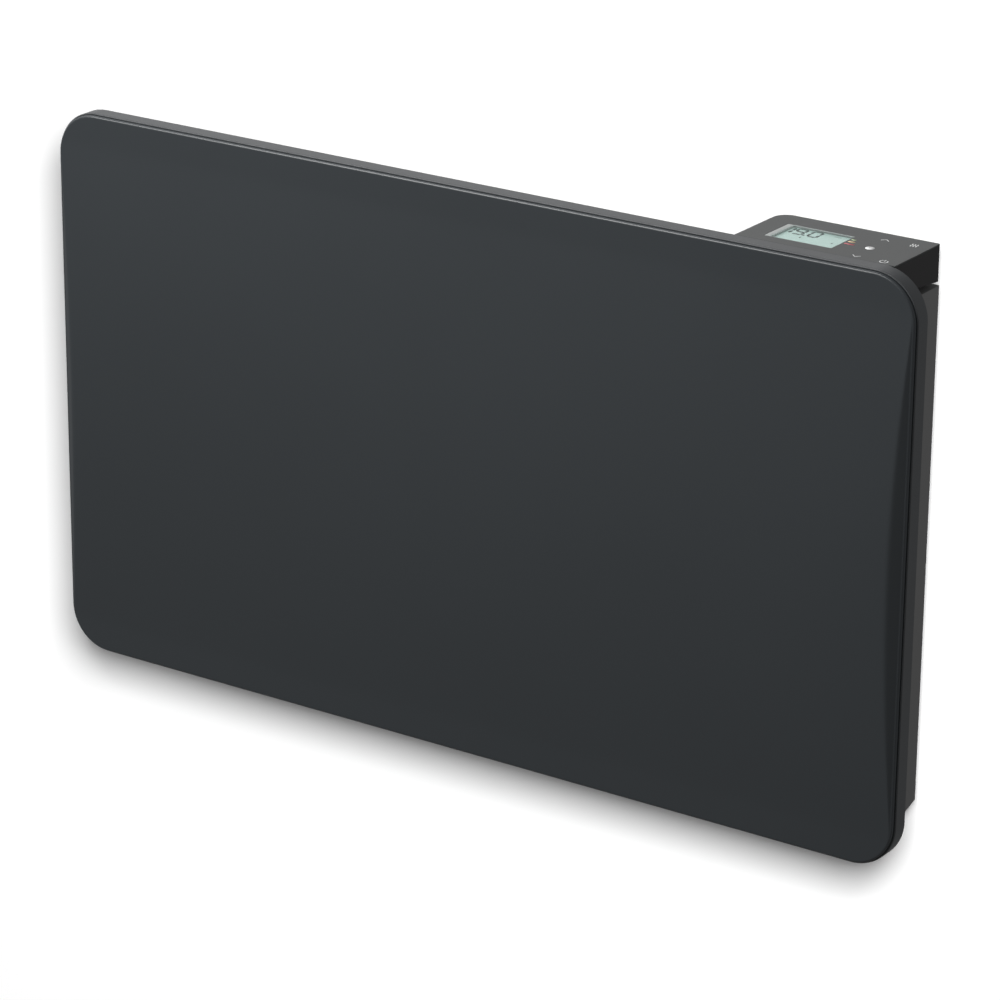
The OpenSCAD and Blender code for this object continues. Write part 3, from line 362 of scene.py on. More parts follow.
def zinc_plate(name, colour):
    """Zinc on steel: a soft spangle of pale and darker grey."""
    m = Shades(name)
    spangle = m.add("ShaderNodeTexVoronoi", {}, {"Vector": m.place, "Scale": 180.0}, output="Color")
    patch = m.add("ShaderNodeSeparateColor", {}, {0: spangle})
    cloud = m.noise(0.02, 4, 0.6)
    base = m.tones(0.4 * patch + 0.6 * cloud, colour, 0.78)
    return m.finish(
        Base_Color=base,
        Metallic=0.6,
        Roughness=0.34 + 0.12 * cloud + 0.05 * patch,
        Normal=m.bump(m.noise(0.0012, 2), 0.00001),
    )


def fired_ceramic(name, colour):
    """Unglazed ceramic: chalky, with fine pits and darker specks."""
    m = Shades(name)
    speck = m.step(m.noise(0.0016, 3, 0.6), 0.62, 0.72)
    cloud = m.noise(0.04, 4, 0.6)
    base = m.tones(cloud, colour, 0.88)
    return m.finish(
        Base_Color=m.mix(speck, base, [c * 0.6 for c in colour]),
        Roughness=0.82 + 0.12 * cloud,
        Normal=m.bump(m.noise(0.0008, 3, 0.6), 0.00008),
    )


def circuit_board(name, colour):
    """Green lacquer over copper: straight traces a little lighter than the ground."""
    m = Shades(name)
    tones = {"Color1": (0, 0, 0, 1), "Color2": (0.3, 0.3, 0.3, 1), "Mortar": (1, 1, 1, 1)}
    cells = m.add(
        "ShaderNodeTexBrick", {"offset": 0.35, "squash": 0.6, "squash_frequency": 3},
        {"Vector": m.place, "Scale": 120.0, "Mortar Size": 0.06, **tones},
    )
    traces = m.add("ShaderNodeSeparateColor", {}, {0: cells})
    base = m.mix(0.6 * traces, colour, [min(1, c * 1.9 + 0.02) for c in colour])
    return m.finish(Base_Color=base, Roughness=0.3 + 0.1 * m.noise(0.004), Normal=m.bump(traces, 0.00003))


def clear_window(name, colour, painted_shade, left, rear, alpha=0.1):
    """Clear moulded window with its own gloss and a faint tint, and painted shade along its left and rear
    edges: an opaque grey band that stands for the shadow in the display's recess.
    """
    m = Shades(name)
    haze = m.noise(0.006, 2)
    # Painted shade: opaque grey near the left and rear edges, fading to clear, in place of the recess's
    # shadow
    from_left = m.step(m.along("X"), left + 2.6 * MM, left + 8.2 * MM)
    from_rear = 1 - m.step(m.along("Y"), rear - 3.6 * MM, rear + 0.4 * MM)
    clear = from_left * from_rear
    tinted = m.tones(haze, colour, 0.96)
    return m.finish(
        Base_Color=m.mix(clear, painted_shade, tinted),
        Roughness=0.08 + 0.05 * haze,
        Alpha=1 - (1 - alpha) * clear,
    )


def lcd_ground(name, colour):
    """Reflective display: pale ground with a fine speckle."""
    m = Shades(name)
    speckle = m.noise(0.0004, 1)
    base = m.tones(speckle, colour, 0.95)
    return m.finish(Base_Color=base, Roughness=0.3 + 0.1 * speckle, Specular_IOR_Level=0.25)


# What a user would change

class PanelSettings(bpy.types.PropertyGroup):
    """Front plate and frame"""

    corner: FloatProperty(name="Corner", description="Radius of the corners", default=0.038, unit="LENGTH")
    edge: FloatProperty(name="Edge", description="Round of the plate's edge", default=0.0018, unit="LENGTH")
    crest: FloatProperty(name="Arch", description="Height of the plate's arch", default=0.006, unit="LENGTH")
    half_span: FloatProperty(
        name="Half span", description="Half of the arch's height", default=0.21, unit="LENGTH"
    )
    bevel: FloatProperty(
        name="Bevel", description="Slope of the bevels at both ends",
        default=math.radians(34), subtype="ANGLE",
    )
    sheet: FloatProperty(name="Sheet", description="Thickness of the plate", default=0.0015, unit="LENGTH")
    wall: FloatProperty(name="Frame wall", description="Wall of the frame", default=0.0012, unit="LENGTH")
    ledge: FloatProperty(name="Ledge", description="Width of the plate's ledge", default=0.01, unit="LENGTH")
    flange: FloatProperty(name="Flange", description="Rear flange's thickness", default=0.0018, unit="LENGTH")
    mouth: FloatProperty(name="Mouth", description="Step from box to mouth", default=0.005, unit="LENGTH")
    plate_colour: FloatVectorProperty(
        name="Plate colour", description="Paint of the front plate", default=srgb(54, 58, 61), subtype="COLOR"
    )
    frame_colour: FloatVectorProperty(
        name="Frame colour", description="Plastic of the frame", default=srgb(66, 68, 70), subtype="COLOR"
    )


class BoxSettings(bpy.types.PropertyGroup):
    """Control box and display"""

    rear_left: FloatProperty(
        name="Left corner", description="Radius at the rear left", default=0.012, unit="LENGTH"
    )
    rear_right: FloatProperty(
        name="Right corner", description="Radius at the rear right", default=0.0016, unit="LENGTH"
    )
    reading: StringProperty(name="Reading", description="Digits on the display, with a point", default="19.0")
    digit: FloatProperty(name="Digit", description="Height of a digit", default=0.0128, unit="LENGTH")
    stroke: FloatProperty(name="Stroke", description="Line width of a symbol", default=0.0007, unit="LENGTH")
    print_depth: FloatProperty(name="Print", description="Depth of a print", default=0.00003, unit="LENGTH")
    top_colour: FloatVectorProperty(
        name="Top colour", description="Touch panel on the box", default=srgb(58, 60, 60), subtype="COLOR"
    )
    box_colour: FloatVectorProperty(
        name="Box colour", description="Plastic of the box", default=srgb(36, 35, 36), subtype="COLOR"
    )
    lcd_colour: FloatVectorProperty(
        name="Display colour", description="Ground of the display",
        default=srgb(187, 211, 205), subtype="COLOR",
    )
    # Colour of the window's frosted side faces, and of the painted shade band along its left and rear edges
    frosted_and_shade_colour: FloatVectorProperty(
        name="Frosted and shade colour", description="Frosted edge of the window",
        default=srgb(142, 147, 145), subtype="COLOR",
    )


class CasingSettings(bpy.types.PropertyGroup):
    """Casing, grilles and brackets"""

    casing_colour: FloatVectorProperty(
        name="Casing colour", description="Paint of the casing", default=srgb(104, 104, 104), subtype="COLOR"
    )
    grille_colour: FloatVectorProperty(
        name="Grille colour", description="Plastic of the grilles", default=srgb(48, 48, 50), subtype="COLOR"
    )
    zinc_colour: FloatVectorProperty(
        name="Zinc colour", description="Plating of brackets and screws",
        default=srgb(196, 198, 200), subtype="COLOR",
    )
    latch_colour: FloatVectorProperty(
        name="Latch colour", description="Plastic of the latches", default=srgb(214, 104, 38), subtype="COLOR"
    )
    ease: FloatProperty(name="Eased edge", description="Round of a sharp edge", default=0.0004, unit="LENGTH")


class StageSettings(bpy.types.PropertyGroup):
    """Camera, wall, floor and light"""

    eye: FloatVectorProperty(
        name="Eye", description="Place of the camera",
        default=(1.7644, -2.6757, 1.1451), subtype="TRANSLATION",
    )
    turn: FloatProperty(
        name="Turn", description="Camera's turn to the left", default=math.radians(33.892), subtype="ANGLE"
    )
    tilt: FloatProperty(
        name="Tilt", description="Camera's tilt down", default=math.radians(20.492), subtype="ANGLE"
    )
    roll: FloatProperty(
        name="Roll", description="Camera's roll", default=math.radians(-0.532), subtype="ANGLE"
    )
    focal: FloatProperty(name="Focal length", description="In picture widths", default=4.2175)
    floor_z: FloatProperty(name="Floor", description="Height of the floor", default=-0.95, unit="LENGTH")
    key: FloatProperty(name="Key", description="Power of the lamp at the upper left", default=96.0)
    top: FloatProperty(name="Top", description="Power of the strip above the front", default=8.0)
    side: FloatProperty(name="Side", description="Power of the lamp behind the right side", default=10.0)
    back: FloatProperty(name="Back", description="Power of the lamp behind", default=28.0)
    fill: FloatProperty(name="Fill", description="Soft light from all around", default=0.18)
    room: FloatProperty(name="Room", description="Mirrored light from the front", default=0.18)
    shade: FloatProperty(name="Shade", description="Strength of the wall's shadow lamp", default=13.4)
    spread: FloatProperty(name="Spread", description="Width of that lamp", default=0.88, unit="LENGTH")
    lift: FloatProperty(name="Lift", description="Its height over the camera", default=0.44, unit="LENGTH")
    shift: FloatProperty(name="Shift", description="Its place beside the camera", default=0.1, unit="LENGTH")


def place(loop, height, axes):
    """A flat loop in space: its two columns go to two axes, and height to the third."""
    points = np.empty((len(loop), 3))
    third = ({0, 1, 2} - set(axes)).pop()
    points[:, axes[0]], points[:, axes[1]], points[:, third] = loop[:, 0], loop[:, 1], height
    return points


def level_loop(low, high, radii, inset, z):
    """A box's outline from above, drawn in by inset, at height z."""
    shift = Vector((inset, inset))
    return place(outline(low.xy + shift, high.xy - shift, radii), z, (0, 1))


def face_outline(half, radius, sizes):
    """A grid that fills a rounded rectangle: point (u X(z), z), where X is its half width at z. The columns
    are close together near the sides, where the bevels end."""
    corner_rows, middle_rows, bevel_columns, inner_columns = 18, 101, 36, 26
    bevel_width = 1.7 * sizes.crest / math.tan(sizes.bevel)
    core = half - radius
    turn = np.linspace(0, math.pi / 2, corner_rows)
    corner_z, corner_x = core[1] + radius * np.sin(turn), core[0] + radius * np.cos(turn)
    middle = np.linspace(-core[1], core[1], middle_rows)[1:-1]
    z = np.concatenate([-corner_z[::-1], middle, corner_z])
    reach = np.concatenate([corner_x[::-1], np.full(len(middle), half[0]), corner_x])
    near = np.linspace(0, bevel_width, bevel_columns)
    inner = np.linspace(bevel_width, half[0], inner_columns)[1:]
    share = 1 - np.concatenate([near, inner]) / half[0]
    u = np.concatenate([-share, share[::-1][1:]])
    return u[None, :] * reach[:, None], np.repeat(z[:, None], len(u), 1)


def arch_height(x, z, half, radius, sizes):
    """How far the plate stands forward at (x, z): the arch crest (1 - v^2)^1.2 and the bevel d tan(slope), at
    d in from the outline, joined as (a^-n + b^-n)^(-1/n), which rounds the crease between them."""
    fullness, joint, least = 1.2, 9.0, 1e-9
    v = z / sizes.half_span
    arch = sizes.crest * np.maximum(1 - v * v, 0) ** fullness
    out = np.abs(np.stack([x, z])) - (half - radius)[:, None, None]
    corner = np.linalg.norm(np.maximum(out, 0), axis=0) + np.minimum(out.max(0), 0)
    slope = np.maximum(radius - corner, 0) * math.tan(sizes.bevel)
    arch, slope = np.maximum(arch, least), np.maximum(slope, least)
    return (arch**-joint + slope**-joint) ** (-1 / joint) - 2 * least


class RADIATOR_OT_front_plate(bpy.types.Operator):
    """Front plate: a shallow arch with a bevel at each end, a rounded edge and a skirt"""

    bl_idname = "radiator.front_plate"
    bl_label = "Front plate"

    def execute(self, context):
        sizes = context.scene.radiator_panel
        low, high = (np.array(c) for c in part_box("front_plate"))
        frame_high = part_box("front_frame")[1]
        inset = frame_high.x - high[0]
        edge = sizes.edge
        half = np.array([high[0], high[2]]) - edge
        radius = sizes.corner - inset - edge
        flat_y, rear_y = low[1] + sizes.crest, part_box("plate_seal")[0].y
        x, z = face_outline(half, radius, sizes)
        y = flat_y - arch_height(x, z, half, radius, sizes)
        face = np.stack([x, y, z], -1)
        rim = np.concatenate([face[:, -1], face[-1, -2::-1], face[-2::-1, 0], face[0, 1:-1]])
        flat = rim[:, [0, 2]]
        outward = (flat - np.clip(flat, radius - half, half - radius)) / radius
        turns = np.append(np.linspace(0, math.pi / 2, 9), math.pi / 2)
        depths = np.append(edge * (1 - np.cos(turns[:-1])), rear_y - flat_y)
        skirt = [
            np.stack([p[:, 0], rim[:, 1] + depth, p[:, 1]], -1)
            for p, depth in ((flat + outward * edge * math.sin(a), d) for a, d in zip(turns, depths))
        ]
        front = face.reshape(-1, 3), grid_faces(*face.shape[:2]).tolist()
        surface = joined([front, loft(skirt)])
        paint = satin_paint("Plate paint", sizes.plate_colour, roughness=0.35, specular=0.5)
        piece = add_piece("FrontPlate", surface, paint, even=False)
        wall = piece.modifiers.new("Sheet", "SOLIDIFY")
        wall.thickness, wall.offset = sizes.sheet, -1
        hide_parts("front_plate")
        return {"FINISHED"}


class RADIATOR_OT_front_frame(bpy.types.Operator):
    """Frame round the plate: rim, side wall, ledge and rear flange in one closed section"""

    bl_idname = "radiator.front_frame"
    bl_label = "Front frame"

    def execute(self, context):
        sizes = context.scene.radiator_panel
        low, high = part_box("front_frame")
        casing_low, casing_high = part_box("rear_casing")
        seat_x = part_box("touch_panel")[1].x
        ledge_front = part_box("plate_seal")[1].y
        ledge_rear = ledge_front + sizes.wall
        inside = high.y - sizes.flange
        ledge = sizes.wall + sizes.ledge
        # This inset stands for the mouth, where the section follows the mouth's own outline
        mouth = 30 * MM
        mouth_low = np.array([sizes.mouth - seat_x, casing_low.z + 12 * MM])
        mouth_high = np.array([seat_x - sizes.mouth, casing_high.z - 14 * MM])
        corner_steps, mouth_corner = 18, 2 * MM

        def loop(inset, y):
            """The frame's outline drawn in by inset, or the mouth's where the section reaches the mouth"""
            if inset > mouth / 2:
                flat = outline(mouth_low, mouth_high, np.full(4, mouth_corner), corner_steps)
            else:
                size = Vector((high.x - inset, high.z - inset))
                flat = outline(-size, size, np.full(4, sizes.corner - inset), corner_steps)
            return place(flat, y, (0, 2))

        corners = [
            (sizes.wall, low.y), (0, low.y), (0, high.y), (mouth, high.y), (mouth, inside),
            (sizes.wall, inside), (sizes.wall, ledge_rear), (ledge, ledge_rear), (ledge, ledge_front),
            (sizes.wall, ledge_front),
        ]
        reaches = np.array([0.1, 1.05, 0.5, 0.05, 0.05, 0.3, 0.3, 0.2, 0.2, 0.3]) * MM
        loops = [loop(inset, y) for inset, y in soft_section(corners, reaches)]
        plastic = moulded_plastic("Frame plastic", sizes.frame_colour, roughness=0.45)
        piece = add_piece("FrontFrame", loft(loops, closed=True), plastic)
        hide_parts("front_frame")
        return {"FINISHED"}


class RADIATOR_OT_touch_panel(bpy.types.Operator):
    """Touch panel over the box, with an eased rim and the window's opening"""

    bl_idname = "radiator.touch_panel"
    bl_label = "Touch panel"

    def execute(self, context):
        sizes = context.scene.radiator_box
        low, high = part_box("touch_panel")
        window_low, window_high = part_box("display_window")
        top = high.z - 2 * sizes.print_depth
        ease, front_corner, window_corner, gap, chamfer = np.array([0.3, 0.4, 0.8, 0.1, 0.15]) * MM
        radii = np.array([sizes.rear_right, sizes.rear_left, front_corner, front_corner])

        def rim(inset, z):
            """The panel's outline drawn in by inset"""
            return level_loop(low, high, radii - min(inset, ease), inset, z)

        def opening(grown, z):
            """The window's outline drawn out by grown"""
            return level_loop(window_low, window_high, np.full(4, window_corner), -grown, z)

        turn = np.linspace(0, math.pi / 2, 5)
        loops = [rim(0, low.z)]
        loops += [rim(ease * (1 - math.cos(a)), top - ease * (1 - math.sin(a))) for a in turn]
        loops += [rim(2 * ease, top), opening(2 * ease, top), opening(gap + chamfer, top)]
        loops += [opening(gap, top - chamfer), opening(gap, low.z)]
        film = moulded_plastic("Touch film", sizes.top_colour, 0.42, depth=0.008 * MM, specular=0.32)
        piece = add_piece("TouchPanel", loft(loops, closed=True), film)
        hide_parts("touch_panel")
        return {"FINISHED"}


class RADIATOR_OT_display(bpy.types.Operator):
    """Display: clear window over the glass cell, with frosted side faces and painted shade along its left and
    rear edges, and the reading on the cell
    """

    bl_idname = "radiator.display"
    bl_label = "Display"

    def execute(self, context):
        sizes = context.scene.radiator_box
        low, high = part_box("display_window")
        depth = sizes.print_depth
        top, bottom = high.z - 2 * depth, low.z + 6 * depth
        ease, corner = 0.15 * MM, 0.7 * MM
        reading_at = low.x + 1.6 * MM, high.y - 15.2 * MM
        section = ((0, bottom), (0, top - ease), (ease, top))
        loops = [level_loop(low, high, np.full(4, corner), inset, z) for inset, z in section]
        # Side faces are frosted. The clear top and bottom carry a grey band of painted shade along the left
        # and rear edges
        frosted = moulded_plastic("Frosted edge", sizes.frosted_and_shade_colour, roughness=0.6)
        clear = clear_window("Clear window", sizes.lcd_colour, sizes.frosted_and_shade_colour, low.x, high.y)
        window = add_piece("DisplayWindow", loft(loops, capped=True), frosted)
        window.data.materials.append(clear)
        faces = window.data.polygons
        normals = np.empty(3 * len(faces))
        faces.foreach_get("normal", normals)
        level = np.abs(normals[2::3]) > 0.9
        faces.foreach_set("material_index", level.astype(np.int32))
        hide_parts("display_window")
        wear("lcd_glass", lcd_ground("Display ground", sizes.lcd_colour))
        ink = moulded_plastic("Display ink", srgb(24, 32, 30), roughness=0.4)
        cell_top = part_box("lcd_glass")[1].z
        levels = cell_top + depth, cell_top + 2 * depth
        marks = [reading_marks(sizes, reading_at, *levels), small_marks((low.x, high.y), *levels)]
        digits = add_piece("DisplayReading", joined(marks), ink, even=False)
        return {"FINISHED"}


def prism(loop, low, high):
    """A flat loop given a thickness."""
    return loft([place(loop, low, (0, 1)), place(loop, high, (0, 1))], capped=True)


def ribbon(path, width, low, high):
    """A line of even width: each point moves by half the width along the normal, both ways. The normal is a
    quarter turn from the step between the points before and after."""
    path = np.array(path, float)
    ahead = np.gradient(path, axis=0)
    normal = np.stack([-ahead[:, 1], ahead[:, 0]], -1)
    normal /= np.linalg.norm(normal, axis=1, keepdims=True)
    left, right = path + normal * width / 2, path - normal * width / 2
    edges = [place(flat, z, (0, 1)) for flat, z in ((left, low), (left, high), (right, high), (right, low))]
    return loft(list(np.stack(edges, 1)), capped=True)


def small_marks(corner, low, high):
    """The display's small signs: a tick below the digits, one at the right and a row of four."""
    # Middle from the window's rear left corner, and half size, in millimetres
    signs = [(22.4, -21, 0.6, 1.5), (49.4, -20.7, 0.6, 1.1)]
    signs += [(43.5 + 1.6 * k, -5.2, 0.25, 0.8) for k in range(4)]
    middles, halves = np.split(np.array(signs) * MM, 2, axis=1)
    middles = middles + corner
    rounding = np.full(4, 0.1 * MM)
    return joined([prism(outline(m - h, m + h, rounding, 2), low, high) for m, h in zip(middles, halves)])


LIT = {
    "0": "abcdef", "1": "bc", "2": "abged", "3": "abgcd", "4": "fgbc", "5": "afgcd", "6": "afgedc",
    "7": "abc", "8": "abcdefg", "9": "abcdfg",
}
SEGMENTS = {
    "a": ((0, 2), (1, 2)), "b": ((1, 2), (1, 1)), "c": ((1, 1), (1, 0)), "d": ((0, 0), (1, 0)),
    "e": ((0, 1), (0, 0)), "f": ((0, 2), (0, 1)), "g": ((0, 1), (1, 1)),
}


def reading_marks(sizes, corner, low, high):
    """Seven-segment digits: each lit segment is a bar between two corners of a frame of one by two."""
    height, width = sizes.digit, 0.58 * sizes.digit
    pitch, point_pitch, point_in = 1.39 * width, 0.34 * width, 0.08 * width
    bar, gap = 0.17 * height, 0.02 * width
    marks, at = [], np.array(corner, float)
    for sign in sizes.reading:
        if sign == ".":
            middle = at - (point_in, 0)
            point = outline(middle - bar / 2, middle + bar / 2, np.full(4, 0.2 * bar), 2)
            marks.append(prism(point, low, high))
            at = at + (point_pitch, 0)
            continue
        for segment in LIT[sign]:
            start, end = (np.array(e) * (width, height / 2) for e in SEGMENTS[segment])
            marks.append(prism(at + pointed_bar(start, end, bar, gap), low, high))
        at = at + (pitch, 0)
    return joined(marks)


def pointed_bar(start, end, width, gap):
    """A bar with a right-angled point at each end, which stops a gap short of both of its ends."""
    along = (end - start) / np.linalg.norm(end - start)
    across = np.array([-along[1], along[0]]) * width / 2
    start, end, tip = start + along * gap, end - along * gap, along * width / 2
    return np.array([
        start, start + tip + across, end - tip + across, end, end - tip - across, start + tip - across
    ])


class RADIATOR_OT_prints(bpy.types.Operator):
    """Symbols of the touch keys and the three level bars, printed on the touch panel"""

    bl_idname = "radiator.prints"
    bl_label = "Printed symbols"

    def execute(self, context):
        sizes = context.scene.radiator_box
        low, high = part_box("touch_panel")
        last_keys = low.x + 110 * MM
        pads = sorted(solid_centres("touch_pads"), key=lambda p: (p[0] > last_keys, p[1]))
        keys = [p[:2] for p in pads]
        timer = keys[1]
        bottom, top = high.z - 2 * sizes.print_depth, high.z - sizes.print_depth * 0.5
        white = moulded_plastic("White print", srgb(232, 233, 233), roughness=0.5)
        symbols = add_piece("KeySymbols", key_symbols(keys, sizes.stroke, bottom, top), white, even=False)
        dark = moulded_plastic("Dark print", srgb(70, 72, 73), roughness=0.5)
        hands = timer_hands(timer, 0.8 * sizes.stroke, top, high.z)
        add_piece("TimerHands", hands, dark, even=False)
        bars = [
            ("LowBar", 3.8, 7.7, (176, 194, 152)), ("MiddleBar", 5.8, 12.9, (230, 204, 162)),
            ("HighBar", 8.4, 18.7, (196, 106, 112)),
        ]
        for name, length, forward, colour in bars:
            ink = moulded_plastic(name + " ink", srgb(*colour), roughness=0.45)
            bar = level_bar(length * MM, forward * MM, bottom, top)
            add_piece(name, bar, ink, even=False)
        return {"FINISHED"}


def key_symbols(keys, line, low, high):
    """Signs over the keys: arrows down and up, a disc, a broken ring with an upright, and three waves."""
    down, disc, up, power, warm = keys
    disc_radius, ring_radius = 3.6 * MM, 3 * MM
    wave_height, wave_swing, wave_pitch = 6.6 * MM, 0.55 * MM, 2.2 * MM
    chevron = np.array([[-3.3, -1.4], [-1.65, 0.1], [0, 1.6], [1.65, 0.1], [3.3, -1.4]]) * MM
    t = np.linspace(0, 1, 25)
    wave = np.stack([wave_swing * np.sin(t * 4 * math.pi), (t - 0.5) * wave_height], -1)
    ring_turn = np.radians(np.linspace(125, 415, 40))
    ring = np.stack([np.cos(ring_turn), np.sin(ring_turn)], -1) * ring_radius
    upright = np.array([[0, 0.4], [0, 2], [0, 3.8]]) * MM
    strokes = [up + chevron, down - chevron, power + ring, power + upright]
    strokes += [warm + wave + (k * wave_pitch, 0) for k in (-1, 0, 1)]
    marks = [ribbon(s, line, low, high) for s in strokes]
    square = np.full(2, disc_radius)
    marks.append(prism(disc + outline(-square, square, np.full(4, disc_radius)), low, high))
    return joined(marks)


def timer_hands(middle, line, low, high):
    """The timer disc's two hands, which meet a little left of its middle."""
    pivot = middle - (0.9 * MM, 0)
    hands = np.array([[[0, 0], [0.5, 0.2], [1, 0.4]], [[0, 0], [0, 0.6], [0, 1.2]]]) * MM
    return joined([ribbon(pivot + h, line, low, high) for h in hands])


def level_bar(length, forward, low, high):
    """A bar beside the display, placed by how far it lies in front of the window's rear right corner."""
    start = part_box("display_window")[1].xy + Vector((1.6 * MM, -forward))
    half, rounding = Vector((0, 1.2 * MM)), np.full(4, 0.7 * MM)
    return prism(outline(start - half, start + Vector((length, 0)) + half, rounding, 4), low, high)


def solid_centres(node):
    """Centre of the box round each solid of a CAD node. Labels spread along edges until they settle."""
    grain = 1e-5
    mesh = frame["nodes"][node].data
    points = np.empty(len(mesh.vertices) * 3)
    mesh.vertices.foreach_get("co", points)
    points = points.reshape(-1, 3)
    edges = np.empty(len(mesh.edges) * 2, np.int32)
    mesh.edges.foreach_get("vertices", edges)
    welded, index = np.unique(np.round(points / grain).astype(np.int64), axis=0, return_inverse=True)
    ends = index.ravel()[edges.reshape(-1, 2)]
    label = np.arange(len(welded))
    while True:
        spread = label.copy()
        np.minimum.at(spread, ends[:, 0], label[ends[:, 1]])
        np.minimum.at(spread, ends[:, 1], label[ends[:, 0]])
        spread = spread[spread]
        if (spread == label).all():
            break
        label = spread
    welded = welded * grain
    return [(welded[label == k].min(0) + welded[label == k].max(0)) / 2 for k in np.unique(label)]


def wear(node, material):
    """Gives a CAD node that stays its material."""
    piece = frame["nodes"][node]
    piece.data.materials.clear()
    piece.data.materials.append(material)


def screw_surface(radius, height, shank, length):
    """A pan-head screw along its axis. The head's top is a dome H (1 - 0.45 q^4) over q = r / R, less a
    cross-shaped recess: a depth times the larger of two eased bars."""
    half_width, half_length, depth = 0.13 * radius, 0.56 * radius, 0.6 * height
    side_ease, end_ease = 0.05 * radius, 0.08 * radius
    q = np.concatenate([np.linspace(0, 0.62, 16), np.linspace(0.66, 1, 7)])[:, None]
    a = np.linspace(0, 2 * math.pi, 48, endpoint=False)[None, :]
    x, y = q * radius * np.cos(a), q * radius * np.sin(a)
    dome = height * (1 - 0.45 * q**4) + 0 * a

    def bar(u, v):
        """1 inside a bar across the head and 0 outside, with eased borders"""
        side = np.clip((half_width - np.abs(u)) / side_ease, 0, 1)
        end = np.clip((half_length - np.abs(v)) / end_ease, 0, 1)
        return side * end

    cut = depth * np.maximum(bar(x, y), bar(y, x))
    head = np.stack([x, y, dome - cut], -1)
    under = lathe([
        [0, -length], [shank * 0.6, -length], [shank, -length + 0.6 * shank], [shank, 0], [radius, 0],
        [radius, height * 0.55],
    ])
    top = head.reshape(-1, 3), grid_faces(*head.shape[:2], wrap_columns=True).tolist()
    return joined([top, under])


class RADIATOR_OT_screws(bpy.types.Operator):
    """Cross-head screws in the casing's flange and back"""

    bl_idname = "radiator.screws"
    bl_label = "Screws"

    def execute(self, context):
        settings = context.scene.radiator_casing
        steel = zinc_plate("Black zinc", [c * 0.22 for c in settings.zinc_colour])
        radius, height, shank = 3.3 * MM, 2 * MM, 1.7 * MM
        for node, name in (("casing_screws", "CasingScrews"), ("reflector_screws", "ReflectorScrews")):
            low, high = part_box(node)
            seat = high.y - height
            points, faces = screw_surface(radius, height, shank, seat - low.y)
            turned = points[:, [0, 2, 1]]
            screws = [(turned + (c[0], seat, c[2]), faces) for c in solid_centres(node)]
            piece = add_piece(name, joined(screws), steel)
            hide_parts(node)
        return {"FINISHED"}


class RADIATOR_OT_casing(bpy.types.Operator):
    """Rear casing, control box, grilles and what shows on the back, with eased edges"""

    bl_idname = "radiator.casing"
    bl_label = "Casing and box"

    def execute(self, context):
        settings = context.scene.radiator_casing
        box = context.scene.radiator_box
        ease, fine = settings.ease, settings.ease / 2
        paint = satin_paint("Casing paint", settings.casing_colour, 0.8, peel=0.00003, specular=0.25)
        plastic = moulded_plastic("Box plastic", box.box_colour, roughness=0.5)
        grille = moulded_plastic("Grille plastic", settings.grille_colour, roughness=0.55)
        zinc = zinc_plate("Zinc plate", settings.zinc_colour)
        black = moulded_plastic("Black plastic", srgb(34, 34, 35), roughness=0.4)
        latch = moulded_plastic("Latch plastic", settings.latch_colour, roughness=0.45)
        dressed = [
            ("rear_casing", ease, paint), ("box_housing", ease, plastic), ("outlet_grille", fine, grille),
            ("inlet_grille", fine, grille), ("cable_gland", ease, black), ("switch_body", fine, black),
            ("rocker", ease, black), ("left_bracket", ease, zinc), ("right_bracket", ease, zinc),
            ("left_latch", ease, latch), ("right_latch", ease, latch), ("left_latch_pin", fine, zinc),
            ("right_latch_pin", fine, zinc),
        ]
        for node, width, material in dressed:
            softened(node, width, material)
            slot_of(node)
        return {"FINISHED"}


def slot_of(node):
    """The record's material slot of a CAD node."""
    return next(s["material_slot"] for s in frame["record"]["subparts"] if s["node"] == node)


class RADIATOR_OT_inner_parts(bpy.types.Operator):
    """Finishes of the pieces inside, which keep their CAD shapes"""

    bl_idname = "radiator.inner_parts"
    bl_label = "Inner parts"

    def execute(self, context):
        zinc = context.scene.radiator_casing.zinc_colour
        finishes = {
            "ceramic": fired_ceramic("Fired ceramic", srgb(226, 216, 200)),
            "sheath_steel": brushed_metal("Sheath steel", srgb(176, 166, 150), 0.42, (40, 1, 1)),
            "zinc_steel": zinc_plate("Inner zinc", zinc),
            "bare_aluminium": brushed_metal("Sheet aluminium", srgb(214, 216, 218), 0.36, (40, 1, 1)),
            "seal_rubber": moulded_plastic("Seal rubber", srgb(30, 30, 31), 0.85, 0.0006, 0.00005),
            "white_plastic": moulded_plastic("White plastic", srgb(228, 228, 222), 0.5),
            "circuit_board": circuit_board("Board lacquer", srgb(28, 92, 56)),
            "black_plastic": moulded_plastic("Inner black", srgb(36, 36, 37), 0.5),
            "relay_blue": moulded_plastic("Relay blue", srgb(44, 82, 150), 0.3),
            "ferrite": moulded_plastic("Ferrite", srgb(70, 68, 66), 0.6, 0.0008, 0.00004),
            "terminal_green": moulded_plastic("Terminal green", srgb(46, 140, 84), 0.45),
            "brass": brushed_metal("Turned brass", srgb(206, 178, 104), 0.3, (1, 1, 20)),
            "lead_insulation": moulded_plastic("Lead insulation", srgb(188, 84, 62), 0.6),
        }
        for node, piece in frame["nodes"].items():
            if not piece.hide_render and node != "lcd_glass":
                wear(node, finishes[slot_of(node)])
        return {"FINISHED"}


